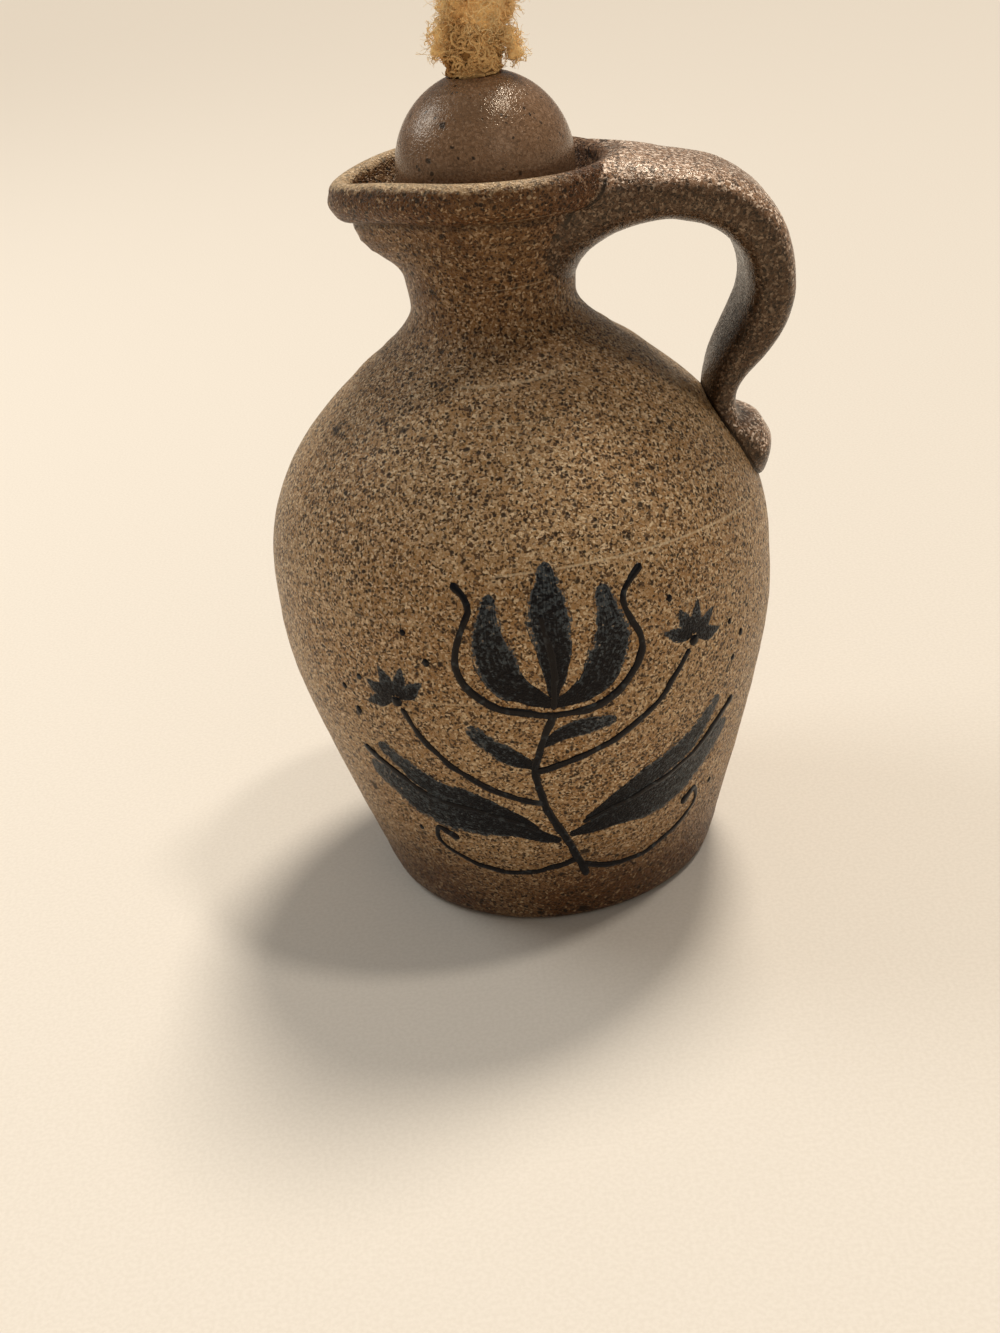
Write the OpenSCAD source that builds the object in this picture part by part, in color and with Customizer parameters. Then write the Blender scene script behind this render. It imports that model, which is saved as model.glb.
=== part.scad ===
// Stoneware jug lamp: a thrown jug with a pulled lip and a strap handle, a loose ball that sits
// in the mouth and holds the wick, and a round cotton wick that hangs down into the jug.
// Millimetres, +Z up. The origin is on the jug's axis, on the plane that it stands on.
// The handle is towards +X and the lip towards -X.

/* [Jug] */
// Radius of the foot above its bevel
foot_r = 38.3; // [30:0.1:50]
// Bevel round the foot
foot_bevel = 1.5; // [0.5:0.1:3]
// Thickness of the floor
floor_t = 7; // [4:0.5:12]
// Thickness of the thrown wall
wall = 5.2; // [3.5:0.1:7]
// Largest radius of the belly
belly_r = 54.7; // [48:0.1:66]
// Height of the belly's largest radius
belly_z = 76; // [60:0.5:86]
// Radius of the neck at its narrowest
neck_r = 17.2; // [15:0.1:21]
// Height of the neck's narrowest place
neck_z = 132.2; // [122:0.1:142]
// Angle of the wall at the foot, out from upright
foot_angle = 17; // [5:1:30]
// How long the wall keeps the foot's angle, as a part of the belly's height
foot_sweep = 0.8; // [0.5:0.01:0.9]
// Fullness of the curve under the belly
under_fullness = 0.21; // [0.1:0.01:0.4]
// Fullness of the curve over the belly
shoulder_fullness = 0.63; // [0.4:0.01:0.8]
// How long the neck stays upright, as a part of the shoulder's height
neck_sweep = 0.19; // [0.1:0.01:0.3]

/* [Mouth] */
// Height of the mouth, from the neck's narrowest place to the rim
mouth_h = 27.8; // [22:0.1:36]
// Thickness of the rounded rim
rim_t = 4.4; // [3:0.1:6]
// Height of the thick band under the rim
band_h = 8; // [6:0.5:11]
// Step at the lower edge of the band
band_step = 1.2; // [0.4:0.1:2]
// Thickness of the mouth across the ball's seat
seat_wall = 7.8; // [5:0.1:10]
// Angle that the mouth leans towards the handle
mouth_lean = 3; // [0:0.1:6]
// How far the lip is pulled out
lip_pull = 5; // [2:0.1:9]
// Half width of the lip, as an angle round the mouth
lip_half_angle = 32; // [22:1:40]
// How far the lip bends down at its tip
lip_droop = 2.7; // [0:0.1:4]
// Height above the neck where the lip starts
lip_start = 4; // [1:0.5:8]
// Height over which the lip comes to its full pull
lip_rise = 10; // [6:0.5:14]

/* [Ball and wick] */
// Radius of the ball
ball_r = 18; // [16:0.1:21]
// How far the ball's centre lies below the rim
ball_drop = 1.2; // [-3:0.1:4]
// Room between the ball's widest part and the rim
ball_gap = 4.3; // [2.5:0.1:6]
// Angle of the ball's seat below the ball's middle
seat_angle = 34; // [26:1:42]
// Length of the straight seat
seat_length = 10; // [6:0.5:12]
// Clearance between the ball and its seat
seat_clearance = 0.3; // [0.2:0.05:0.6]
// Radius of the wick
wick_r = 5; // [4:0.1:6]
// Clearance between the wick and the ball's bore
wick_clearance = 0.3; // [0.2:0.05:0.6]
// Bevel at both ends of the ball's bore
bore_bevel = 0.8; // [0.4:0.1:1.5]
// Clearance between the wick's lower end and the floor
wick_floor_gap = 3; // [1:0.5:10]
// Radius of the frayed tuft at its fullest
tuft_r = 9.3; // [7:0.1:12]
// Height of the tuft above the ball
tuft_h = 20.5; // [12:0.5:28]
// Radius of the lobes that hang round the tuft
tuft_lobe_r = 4.2; // [3:0.1:5]
// Number of lobes round the tuft
tuft_lobes = 6; // [4:1:8]
// Length of the gathered neck below the tuft's lobes
tuft_gather = 1.2; // [0.5:0.1:4]
// Angle that the tuft leans towards the handle
tuft_lean = 11; // [0:1:14]
// Clearance between the tuft and the ball
tuft_clearance = 0.4; // [0.2:0.05:1]

/* [Handle] */
// Reach of the strap's middle beyond the rim at the bend
handle_reach = 32.2; // [28:0.1:40]
// Height of the bend below the rim
bend_drop = 29; // [22:0.5:36]
// Height of the strap where it leaves the mouth
root_h = 19; // [15:0.5:21]
// Width of the strap where it leaves the mouth
root_w = 32; // [28:0.5:38]
// Thickness of the strap over the arch
arch_t = 11.6; // [8:0.1:14]
// Width of the strap over the arch
arch_w = 27.5; // [20:0.5:34]
// Thickness of the strap at the bend
bend_t = 10.2; // [8:0.1:13]
// Width of the strap at the bend
bend_w = 24; // [18:0.5:30]
// Height below the neck where the strap meets the shoulder
waist_drop = 26; // [22:0.5:30]
// Thickness of the strap at that waist
waist_t = 6.8; // [5:0.1:9]
// Width of the strap at that waist
waist_w = 17; // [14:0.5:22]
// Height below the neck of the tail's tip
tail_drop = 45; // [40:0.5:52]
// Thickness of the tail, half of it standing out of the wall
tail_t = 10; // [7:0.1:13]
// Width of the tail
tail_w = 20; // [14:0.5:26]

/* [Hidden] */
$fn = 96;

// Steps along each curve of the profile and of the strap, and sides of the mouth and strap
profile_steps = 18;
mouth_sides = 72;
strap_steps = 12;
strap_sides = 20;
// How far the mouth's first ring laps over the neck, inside and outside
neck_lap = 0.03;
// How far the thrown wall goes up into the mouth's ring, so that the two are one piece of clay
neck_tenon = 1;
// How square the strap's section is: 2 is an ellipse
strap_squareness = 2.8;
// Where the tail starts to round off, on the strap's run
tail_round_from = 2.72;
// Smallest square of the tail's size at its tip
tail_least = 0.004;
// How far the strap sinks into the shoulder, and its top starts below the rim
waist_sink = 1;
root_below_rim = 0.4;
// Shape of the strap's curves: reach of each curve's handles as a part of its span
arch_fullness = 0.75;
bend_fullness = 0.75;
arm_fullness = 0.45;
waist_fullness = 0.36;
arch_rise = 8;
arm_slope = 0.1;

throat_r = neck_r - wall;
rim_z = neck_z + mouth_h;
ball_z = rim_z - ball_drop;
seat_r = (ball_r + seat_clearance) * cos(seat_angle);
seat_z = ball_z - (ball_r + seat_clearance) * sin(seat_angle);
seat_half = seat_length / 2 * [sin(seat_angle), cos(seat_angle)];
collar_r = seat_r + seat_wall;
band_z = rim_z - band_h;
rim_r = ball_r + ball_gap + rim_t / 2;
rim_mid_z = rim_z - rim_t / 2;
ball_centre = leaned([0, 0, ball_z]);
tuft_z = ball_centre.z + ball_r + tuft_clearance;
bore_r = wick_r + wick_clearance;

// Cubic curve through four control points, and its direction
function bezier(p, t) =
    pow(1 - t, 3) * p[0] + 3 * pow(1 - t, 2) * t * p[1] + 3 * (1 - t) * t * t * p[2] + pow(t, 3) * p[3];
function bezier_dir(p, t) =
    let (d = pow(1 - t, 2) * (p[1] - p[0]) + 2 * (1 - t) * t * (p[2] - p[1]) + t * t * (p[3] - p[2]))
    d / norm(d);
// Smooth step from 0 to 1, held outside that range
function ease(t) = let (c = min(1, max(0, t))) c * c * (3 - 2 * c);
// Value at u of a list of [u, value] pairs, eased between neighbours
function eased(u, keys, i = 0) =
    i >= len(keys) - 2 || u < keys[i + 1][0]
    ? keys[i][1] + (keys[i + 1][1] - keys[i][1]) * ease((u - keys[i][0]) / (keys[i + 1][0] - keys[i][0]))
    : eased(u, keys, i + 1);

// Profile of the thrown wall, as [radius, height]: foot to belly, then belly to neck
shoulder_h = neck_z - belly_z;
under_curve = [
    [foot_r, foot_bevel],
    [foot_r, foot_bevel] + foot_sweep * belly_z * [sin(foot_angle), cos(foot_angle)],
    [belly_r, belly_z - under_fullness * belly_z],
    [belly_r, belly_z]
];
shoulder_curve = [
    [belly_r, belly_z],
    [belly_r, belly_z + shoulder_fullness * shoulder_h],
    [neck_r, neck_z - neck_sweep * shoulder_h],
    [neck_r, neck_z]
];
function inside(p, t) = let (d = bezier_dir(p, t)) bezier(p, t) + wall * [-d.y, d.x];
outer_wall = [
    for (i = [0:profile_steps]) bezier(under_curve, i / profile_steps),
    for (i = [1:profile_steps]) bezier(shoulder_curve, i / profile_steps)
];
inner_wall = [
    for (i = [profile_steps:-1:0]) inside(shoulder_curve, i / profile_steps),
    for (i = [profile_steps - 1:-1:0]) inside(under_curve, i / profile_steps)
];
neck_top = [[neck_r, neck_z + neck_tenon], [throat_r, neck_z + neck_tenon]];
inner_above_floor = [for (p = inner_wall) if (p.y > floor_t + wall / 2) p];
foot_outline = [[0, 0], [foot_r - foot_bevel, 0]];
floor_outline = [[inner_above_floor[len(inner_above_floor) - 1].x - wall / 2, floor_t], [0, floor_t]];
// Radius of the jug's outside at a height
function wall_r(z) = lookup(z, [for (p = outer_wall) [p.y, p.x]]);

// A point of the upright mouth, leaned over towards the handle about the neck
function leaned(p) =
    let (a = mouth_lean * ease((p.z - neck_z) / (seat_z - neck_z)), h = p.z - neck_z)
    [p.x * cos(a) + h * sin(a), p.y, neck_z + h * cos(a) - p.x * sin(a)];
// One ring of the mouth, with the lip pulled out towards -X
function mouth_ring(r, z) = [
    for (i = [0:mouth_sides - 1])
        let (
            a = 360 * i / mouth_sides,
            lip = exp(-pow((a - 180) / lip_half_angle, 2)) * ease((z - neck_z - lip_start) / lip_rise)
        )
        leaned([r * cos(a) - lip_pull * lip, r * sin(a), z - lip_droop * lip])
];
flare_steps = 6;
throat_steps = 4;
// How sharply the mouth's outside and inside open out above the neck
flare_power = 1.8;
throat_power = 1.6;
// How far round the rim's section its bead turns under
rim_under_angle = 40;
function rim_point(a) = [rim_r, rim_mid_z] + rim_t / 2 * [cos(a), sin(a)];
flare_top = [collar_r, band_z - band_step];
mouth_outside = [
    [(neck_r + neck_lap) / cos(180 / mouth_sides), neck_z],
    for (i = [1:flare_steps])
        let (s = i / flare_steps)
        [neck_r + (flare_top.x - neck_r) * pow(s, flare_power), neck_z + (flare_top.y - neck_z) * s],
    [collar_r + band_step, band_z],
    for (a = [-rim_under_angle, 0, 30, 60, 90]) rim_point(a)
];
mouth_inside = [
    for (a = [120, 150, 180]) rim_point(a),
    [seat_r, seat_z] + seat_half,
    [seat_r, seat_z] - seat_half,
    for (i = [throat_steps - 1:-1:0])
        let (s = i / throat_steps, low = [seat_r, seat_z] - seat_half)
        [throat_r - neck_lap + (low.x - throat_r) * pow(s, throat_power), neck_z + (low.y - neck_z) * s]
];

// The strap's middle line in the XZ plane, as three curves: mouth to bend, bend to waist, tail
bend = [rim_r + handle_reach, rim_z - bend_drop];
waist_z = neck_z - waist_drop;
waist = [wall_r(waist_z) + waist_t / 2 - waist_sink, waist_z];
tail_tip = [wall_r(neck_z - tail_drop), neck_z - tail_drop];
tail_mid_z = (waist.y + tail_tip.y) / 2;
root = [throat_r, leaned([rim_r, 0, rim_z]).z - root_below_rim - root_h / 2];
strap_curves = [
    [
        root,
        root + [arch_fullness * (bend.x - root.x), arch_rise],
        bend + [0, bend_fullness * (root.y - bend.y)],
        bend
    ],
    [
        bend,
        bend - [0, arm_fullness * (bend.y - waist.y)],
        waist + waist_fullness * (bend.y - waist.y) * [arm_slope, 1],
        waist
    ],
    [
        waist,
        waist - waist_fullness * (waist.y - tail_tip.y) * [arm_slope, 1],
        [wall_r(tail_mid_z), tail_mid_z],
        tail_tip
    ]
];
// Width and thickness along the strap's run: 0 in the mouth's wall, 1 at the bend, 2 at the waist
// and 3 at the tail's tip
strap_run = len(strap_curves);
width_keys = [
    [0, root_w], [0.2, root_w], [0.5, arch_w], [1, bend_w], [2, waist_w], [2.4, tail_w], [strap_run, tail_w]
];
thickness_keys = [
    [0, root_h], [0.1, root_h], [0.34, arch_t], [0.6, arch_t], [1, bend_t], [1.3, bend_t], [2, waist_t],
    [2.4, tail_t], [strap_run, tail_t]
];
function tail_rounding(u) =
    let (s = max(0, u - tail_round_from) / (strap_run - tail_round_from))
    sqrt(max(tail_least, 1 - s * s));
function squared(v) = sign(v) * pow(abs(v), 2 / strap_squareness);
function strap_section(u) =
    let (
        part = min(strap_run - 1, floor(u)),
        t = u - part,
        mid = bezier(strap_curves[part], t),
        dir = bezier_dir(strap_curves[part], t),
        round_off = tail_rounding(u),
        w = eased(u, width_keys) * round_off,
        h = eased(u, thickness_keys) * round_off
    )
    [
        for (i = [0:strap_sides - 1])
            let (a = 360 * (i + 0.5) / strap_sides, n = h / 2 * squared(sin(a)))
            [mid.x - dir.y * n, w / 2 * squared(cos(a)), mid.y + dir.x * n]
    ];

// Skin over a list of rings with the same number of points each
function ring_faces(rings, sides, closed) = [
    for (k = [0:rings - (closed ? 1 : 2)], i = [0:sides - 1], half = [0, 1])
        let (
            a = k * sides + i,
            b = k * sides + (i + 1) % sides,
            c = ((k + 1) % rings) * sides + i,
            d = ((k + 1) % rings) * sides + (i + 1) % sides
        )
        half == 0 ? [a, c, b] : [b, c, d]
];
function flat_points(rings) = [for (ring = rings) each ring];

module mouth() {
    rings = [for (p = concat(mouth_outside, mouth_inside)) mouth_ring(p.x, p.y)];
    polyhedron(flat_points(rings), ring_faces(len(rings), mouth_sides, true), convexity = 6);
}

// The mouth and the jug as full blocks, which cut the handle's ends to their shape
module mouth_block() {
    above_rim = [rim_r, rim_z + root_h];
    rings = [for (p = concat(mouth_outside, [above_rim])) mouth_ring(p.x, p.y)];
    top = (len(rings) - 1) * mouth_sides;
    centre = len(rings) * mouth_sides;
    points = concat(flat_points(rings), [leaned([0, 0, above_rim.y])]);
    floor_face = [for (i = [0:mouth_sides - 1]) i];
    top_faces = [for (i = [0:mouth_sides - 1]) [top + i, centre, top + (i + 1) % mouth_sides]];
    polyhedron(
        points,
        concat(ring_faces(len(rings), mouth_sides, false), [floor_face], top_faces),
        convexity = 4
    );
}

module jug_block() {
    rotate_extrude() polygon(concat(foot_outline, outer_wall, [[0, neck_z]]));
}

module strap() {
    rings = [for (i = [0:strap_run * strap_steps]) strap_section(i / strap_steps)];
    last = strap_run * strap_steps * strap_sides;
    start_face = [for (i = [0:strap_sides - 1]) i];
    end_face = [for (i = [strap_sides - 1:-1:0]) last + i];
    polyhedron(
        flat_points(rings),
        concat(ring_faces(len(rings), strap_sides, false), [start_face, end_face]),
        convexity = 6
    );
}

module jug_body() {
    color("#9c8260") {
        rotate_extrude() polygon(concat(foot_outline, outer_wall, neck_top, inner_above_floor, floor_outline));
        mouth();
    }
}

module handle() {
    color("#8a6a48")
    difference() {
        strap();
        jug_block();
        mouth_block();
    }
}

module wick_ball() {
    color("#7a5c4c")
    translate(ball_centre)
    difference() {
        sphere(ball_r);
        cylinder(h = 3 * ball_r, r = bore_r, center = true);
        for (end = [0, 1])
            mirror([0, 0, end])
            translate([0, 0, sqrt(ball_r * ball_r - bore_r * bore_r) - bore_bevel])
            cylinder(h = 2 * bore_bevel, r1 = bore_r, r2 = bore_r + 2 * bore_bevel);
    }
}

module wick() {
    wick_low = floor_t + wick_floor_gap;
    color("#c9a873")
    translate([ball_centre.x, 0, wick_low])
    cylinder(h = tuft_z - wick_low, r = wick_r);
}

// The frayed end: a full head on a gathered neck, with lobes that hang round it, all leaning
// a little and cut level where the wick goes on below
module wick_tuft() {
    lobe_z = tuft_lobe_r + tuft_gather;
    color("#d8b987")
    translate([ball_centre.x, 0, tuft_z])
    intersection() {
        rotate([0, tuft_lean, 0]) {
            translate([0, 0, tuft_h - tuft_r]) sphere(tuft_r);
            translate([0, 0, -wick_r]) cylinder(h = tuft_h - tuft_r + wick_r, r = wick_r);
            for (i = [0:tuft_lobes - 1])
                rotate(360 * i / tuft_lobes)
                translate([tuft_r - tuft_lobe_r, 0, lobe_z])
                sphere(tuft_lobe_r);
        }
        translate([-2 * tuft_r, -2 * tuft_r, 0]) cube([4 * tuft_r, 4 * tuft_r, 2 * tuft_h]);
    }
}

jug_body();
handle();
wick_ball();
wick();
wick_tuft();
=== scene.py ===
# %% [markdown]
# # A stoneware jug lamp
#
# The lamp is a small thrown jug of salt-glazed stoneware. A pierced ball stops its mouth, and a
# cotton wick goes down through the ball into the oil. The end of the wick above the ball is frayed
# out to a tuft.
#
# The solids are loaded first. They stay where they are and decide the sizes; every piece that is
# modelled here takes the place of one of them, or lies on one.

# %% The fixed frame
import math

import bmesh
import bpy
from mathutils import Matrix, Vector, noise


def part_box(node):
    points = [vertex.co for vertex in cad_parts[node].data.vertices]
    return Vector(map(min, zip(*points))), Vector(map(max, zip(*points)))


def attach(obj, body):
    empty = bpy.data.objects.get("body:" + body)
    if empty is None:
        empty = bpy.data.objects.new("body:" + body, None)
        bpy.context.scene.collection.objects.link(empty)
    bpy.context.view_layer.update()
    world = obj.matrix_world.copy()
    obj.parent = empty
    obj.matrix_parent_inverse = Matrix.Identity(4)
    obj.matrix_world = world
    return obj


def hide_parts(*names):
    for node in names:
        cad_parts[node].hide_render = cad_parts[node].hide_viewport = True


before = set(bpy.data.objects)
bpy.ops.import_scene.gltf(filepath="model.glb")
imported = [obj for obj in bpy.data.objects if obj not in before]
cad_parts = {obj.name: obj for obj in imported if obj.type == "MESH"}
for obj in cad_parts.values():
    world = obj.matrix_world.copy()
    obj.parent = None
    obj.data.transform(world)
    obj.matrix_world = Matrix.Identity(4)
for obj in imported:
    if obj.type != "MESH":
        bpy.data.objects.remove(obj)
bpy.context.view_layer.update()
MM = 0.001
TURN = 2 * math.pi

for node_name in sorted(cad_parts):
    low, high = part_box(node_name)
    print(node_name, "size in mm:", [round(side / MM, 1) for side in high - low])

# %% [markdown]
# ## The camera
#
# The picture was taken by hand from in front and above, at about arm's length, with the camera
# turned a little about its own axis. The place and the angles below come from the outline of the
# jug, its foot and its rim. A camera could be turned with Euler angles, but a matrix of its right,
# up and forward directions is easier to check.

# %% Camera
CAMERA_AT = Vector((0, -338.8, 224.9)) * MM
CAMERA_YAW = math.radians(-1.35)
CAMERA_PITCH = math.radians(27.9)
CAMERA_ROLL = math.radians(-7.06)
FILM_HEIGHT_MM = 36
LENS_MM = 44.7


def add_object(name, data):
    thing = bpy.data.objects.new(name, data)
    bpy.context.collection.objects.link(thing)
    return thing


def place_camera():
    flat = math.cos(CAMERA_PITCH)
    forward = Vector((math.sin(CAMERA_YAW) * flat, math.cos(CAMERA_YAW) * flat, -math.sin(CAMERA_PITCH)))
    level = forward.cross(Vector((0, 0, 1))).normalized()
    over = level.cross(forward)
    right = math.cos(CAMERA_ROLL) * level + math.sin(CAMERA_ROLL) * over
    up = math.cos(CAMERA_ROLL) * over - math.sin(CAMERA_ROLL) * level
    data = bpy.data.cameras.new("camera")
    data.sensor_fit = "VERTICAL"
    data.sensor_height = FILM_HEIGHT_MM
    data.lens = LENS_MM
    camera = add_object("camera", data)
    camera.matrix_world = Matrix.Translation(CAMERA_AT) @ Matrix((right, up, -forward)).transposed().to_4x4()
    bpy.context.scene.camera = camera
    print("camera", round(CAMERA_AT.length / MM), "mm from the middle of the foot")


place_camera()

# %% [markdown]
# ## Writing node trees as calls
#
# Materials and Geometry Nodes are both trees of nodes. Built one line at a time they get long, so
# this small class turns a node into a call: a value that is a socket becomes a link, and any other
# value is typed into the socket. The nodes that come up again and again have short names.

# %% Nodes as calls
class Nodes:
    """A node tree whose nodes are added by calls."""

    def __init__(self, tree):
        self.tree = tree

    def fill(self, node, inputs):
        for key, value in inputs.items():
            if isinstance(value, bpy.types.NodeSocket):
                self.tree.links.new(value, node.inputs[key])
            else:
                node.inputs[key].default_value = value

    def add(self, kind, inputs=None, **settings):
        node = self.tree.nodes.new(kind)
        for name, value in settings.items():
            setattr(node, name, value)
        self.fill(node, inputs or {})
        return node

    def out(self, kind, inputs=None, **settings):
        """The first output of a new node."""
        return self.add(kind, inputs, **settings).outputs[0]

    def math(self, operation, *values):
        return self.out("ShaderNodeMath", dict(enumerate(values)), operation=operation)

    def vector(self, x=0.0, y=0.0, z=0.0):
        return self.out("ShaderNodeCombineXYZ", {0: x, 1: y, 2: z})

    def vector_math(self, operation, *values):
        return self.out("ShaderNodeVectorMath", dict(enumerate(values)), operation=operation)

    def plus(self, a, b):
        return self.math("ADD", a, b)

    def minus(self, a, b):
        return self.math("SUBTRACT", a, b)

    def times(self, a, b):
        return self.math("MULTIPLY", a, b)

    def over(self, a, b):
        return self.math("DIVIDE", a, b)

    def scaled(self, vector, factor):
        inputs = {"Vector": vector, "Scale": factor}
        return self.out("ShaderNodeVectorMath", inputs, operation="SCALE")

    def parts(self, vector):
        return self.add("ShaderNodeSeparateXYZ", {0: vector}).outputs

    def ease(self, value, start, end, low=0.0, high=1.0):
        inputs = {"Value": value, "From Min": start, "From Max": end, "To Min": low, "To Max": high}
        return self.out("ShaderNodeMapRange", inputs, interpolation_type="SMOOTHSTEP")

    def noise(self, vector, scale, detail=2.0, roughness=0.5):
        inputs = {"Vector": vector, "Scale": scale, "Detail": detail, "Roughness": roughness}
        return self.add("ShaderNodeTexNoise", inputs).outputs

    def sway(self, vector, scale, detail=2.0):
        """Noise about zero."""
        return self.minus(self.noise(vector, scale, detail)["Fac"], 0.5)

    def shake(self, vector, scale, detail=2.0):
        """Noise about zero, in three directions."""
        return self.vector_math("SUBTRACT", self.noise(vector, scale, detail)["Color"], (0.5, 0.5, 0.5))

    def cells(self, vector, size):
        return self.add("ShaderNodeTexVoronoi", {"Vector": vector, "Scale": 1 / size}).outputs

    def mix(self, factor, first, second, blend="MIX"):
        """Two colours, mixed or multiplied."""
        inputs = {0: factor, 6: first, 7: second}
        return self.add("ShaderNodeMix", inputs, data_type="RGBA", blend_type=blend).outputs[2]

    def place(self):
        """Object coordinates, in which a pattern stays where it is on a piece."""
        return self.add("ShaderNodeTexCoord").outputs["Object"]

    def attribute(self, name):
        return self.add("ShaderNodeAttribute", attribute_name=name).outputs["Fac"]


# %% [markdown]
# ## Recipes that become plain meshes
#
# A Geometry Nodes tree is a recipe with named inputs. A modifier runs it on a carrier, an object
# that only brings points or lines, and what comes out is copied to a plain mesh. The modifier could
# stay live, but the export wants plain meshes, so the carrier is removed with it.

# %% Recipes
SOCKET_KINDS = {
    int: "NodeSocketInt",
    float: "NodeSocketFloat",
    Vector: "NodeSocketVector",
    bpy.types.Material: "NodeSocketMaterial",
    bpy.types.Object: "NodeSocketObject",
}


class Recipe(Nodes):
    """A Geometry Nodes tree with named inputs. It ends in Realize Instances and Set Material."""

    def __init__(self, name, inputs):
        super().__init__(bpy.data.node_groups.new(name, "GeometryNodeTree"))
        face = self.tree.interface
        face.new_socket("Geometry", in_out="INPUT", socket_type="NodeSocketGeometry")
        face.new_socket("Geometry", in_out="OUTPUT", socket_type="NodeSocketGeometry")
        self.names = {}
        for title, kind in {**inputs, "Seed": int, "Finish": bpy.types.Material}.items():
            socket = face.new_socket(title, in_out="INPUT", socket_type=SOCKET_KINDS[kind])
            self.names[title] = socket.identifier
        self.start = self.add("NodeGroupInput").outputs

    def __getitem__(self, title):
        return self.start[title]

    def position(self):
        return self.out("GeometryNodeInputPosition")

    def move(self, geometry, **target):
        """Moves points to a Position or by an Offset."""
        return self.out("GeometryNodeSetPosition", {"Geometry": geometry, **target})

    def store(self, geometry, name, value):
        inputs = {"Geometry": geometry, "Name": name, "Value": value}
        return self.out("GeometryNodeStoreNamedAttribute", inputs, data_type="FLOAT")

    def instances(self, points, shape, **more):
        """Real copies of a shape on points."""
        inputs = {"Points": points, "Instance": shape, **more}
        copies = self.out("GeometryNodeInstanceOnPoints", inputs)
        return self.out("GeometryNodeRealizeInstances", {0: copies})

    def resample(self, curve, spacing):
        inputs = {"Curve": curve, "Length": spacing}
        return self.out("GeometryNodeResampleCurve", inputs, mode="LENGTH")

    def ring(self, sides, radius):
        inputs = {"Resolution": sides, "Radius": radius}
        return self.out("GeometryNodeCurvePrimitiveCircle", inputs)

    def tube(self, curve, ring, **more):
        inputs = {"Curve": curve, "Profile Curve": ring, "Fill Caps": True, **more}
        return self.out("GeometryNodeCurveToMesh", inputs)

    def end(self, geometry):
        real = self.out("GeometryNodeRealizeInstances", {"Geometry": geometry})
        smooth = self.out("GeometryNodeSetShadeSmooth", {"Geometry": real})
        done = self.out("GeometryNodeSetMaterial", {"Geometry": smooth, "Material": self["Finish"]})
        self.add("NodeGroupOutput", {0: done})
        print("recipe:", self.tree.name, "with inputs", list(self.names))

    def bake(self, name, carrier, values):
        """Runs the recipe on a carrier object, which is used up, and returns the plain mesh piece."""
        modifier = carrier.modifiers.new(self.tree.name, "NODES")
        modifier.node_group = self.tree
        for title, value in values.items():
            modifier[self.names[title]] = value
        seen = carrier.evaluated_get(bpy.context.evaluated_depsgraph_get())
        mesh = bpy.data.meshes.new_from_object(seen)
        bpy.data.objects.remove(carrier)
        return add_piece(name, mesh)


# %% Pieces and carriers
def face_outwards(piece):
    shape = bmesh.new()
    shape.from_mesh(piece.data)
    bmesh.ops.recalc_face_normals(shape, faces=shape.faces)
    open_edges = sum(not edge.is_manifold for edge in shape.edges)
    shape.to_mesh(piece.data)
    shape.free()
    print(piece.name, "faces outwards, with", open_edges, "open edges")


def add_piece(name, mesh):
    mesh.name = name
    piece = add_object(name, mesh)
    mesh.calc_loop_triangles()
    print(name, "has", len(mesh.loop_triangles), "triangles")
    face_outwards(piece)
    return piece


def point_carrier(name, points):
    """An object with bare points, in order, for a recipe to read."""
    mesh = bpy.data.meshes.new(name)
    mesh.from_pydata([tuple(p) for p in points], [], [])
    return add_object(name, mesh)


def line_carrier(name, lines):
    """A curve object with one poly spline for each list of (point, radius)."""
    curve = bpy.data.curves.new(name, "CURVE")
    curve.dimensions = "3D"
    for line in lines:
        spline = curve.splines.new("POLY")
        spline.points.add(len(line) - 1)
        for knot, (place, radius) in zip(spline.points, line):
            knot.co = (*place, 1)
            knot.radius = radius
    return add_object(name, curve)


# %% [markdown]
# ## The stoneware finish
#
# Salt glaze is clay seen through a thin glass that the salt vapour made in the kiln. It is pitted
# like orange peel, the iron in the clay comes through as dark specks of every size, and the pot is
# toasted brown where the flame reached it: at the mouth, the neck and the foot. There the colour is
# darkened further as painted shade. An image could carry all that, but a tree of textures has no
# seams and the right scale in millimetres everywhere. One function gives colour and height, so that
# the jug, the handle, the ball and the thin brushed slip are all the same clay.

# %% Spots
def dots(nodes, place, spacing, radius, share):
    """A mask of round spots: one in each cell of this spacing, kept in a share of the cells."""
    cells = nodes.cells(place, spacing)
    pick = nodes.parts(cells["Color"])
    size = nodes.times(nodes.plus(pick[1], 0.4), radius / spacing)
    off = nodes.over(cells["Distance"], size)
    spot = nodes.minus(1.0, nodes.ease(off, 0.55, 1.0))
    return nodes.times(spot, nodes.math("LESS_THAN", pick[0], share))


# %% Clay under salt glaze
SAND_CELL = 0.45 * MM
# Spacing and radius of the iron in the clay: pits, flecks and large spots
PITS = (0.9 * MM, 0.38 * MM)
FLECKS = (3.2 * MM, 0.64 * MM)
SPOTS = (13 * MM, 1.6 * MM)
# How far the grains, and the outline of the large spots, are stirred
STIR = 0.9 * MM
RAGGED = 2.2 * MM
CLAY = {
    "pale": (0.37, 0.212, 0.088, 1),
    "golden": (0.31, 0.160, 0.056, 1),
    # On the jug and the handle the flame's colour also stands in for painted shade.
    "flame": (0.29, 0.195, 0.125, 1),
    "toasted": (0.048, 0.018, 0.005, 1),
    "iron": (0.010, 0.004, 0.0015, 1),
    "grain": (0.74, 0.56, 0.35, 1),
}


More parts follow.
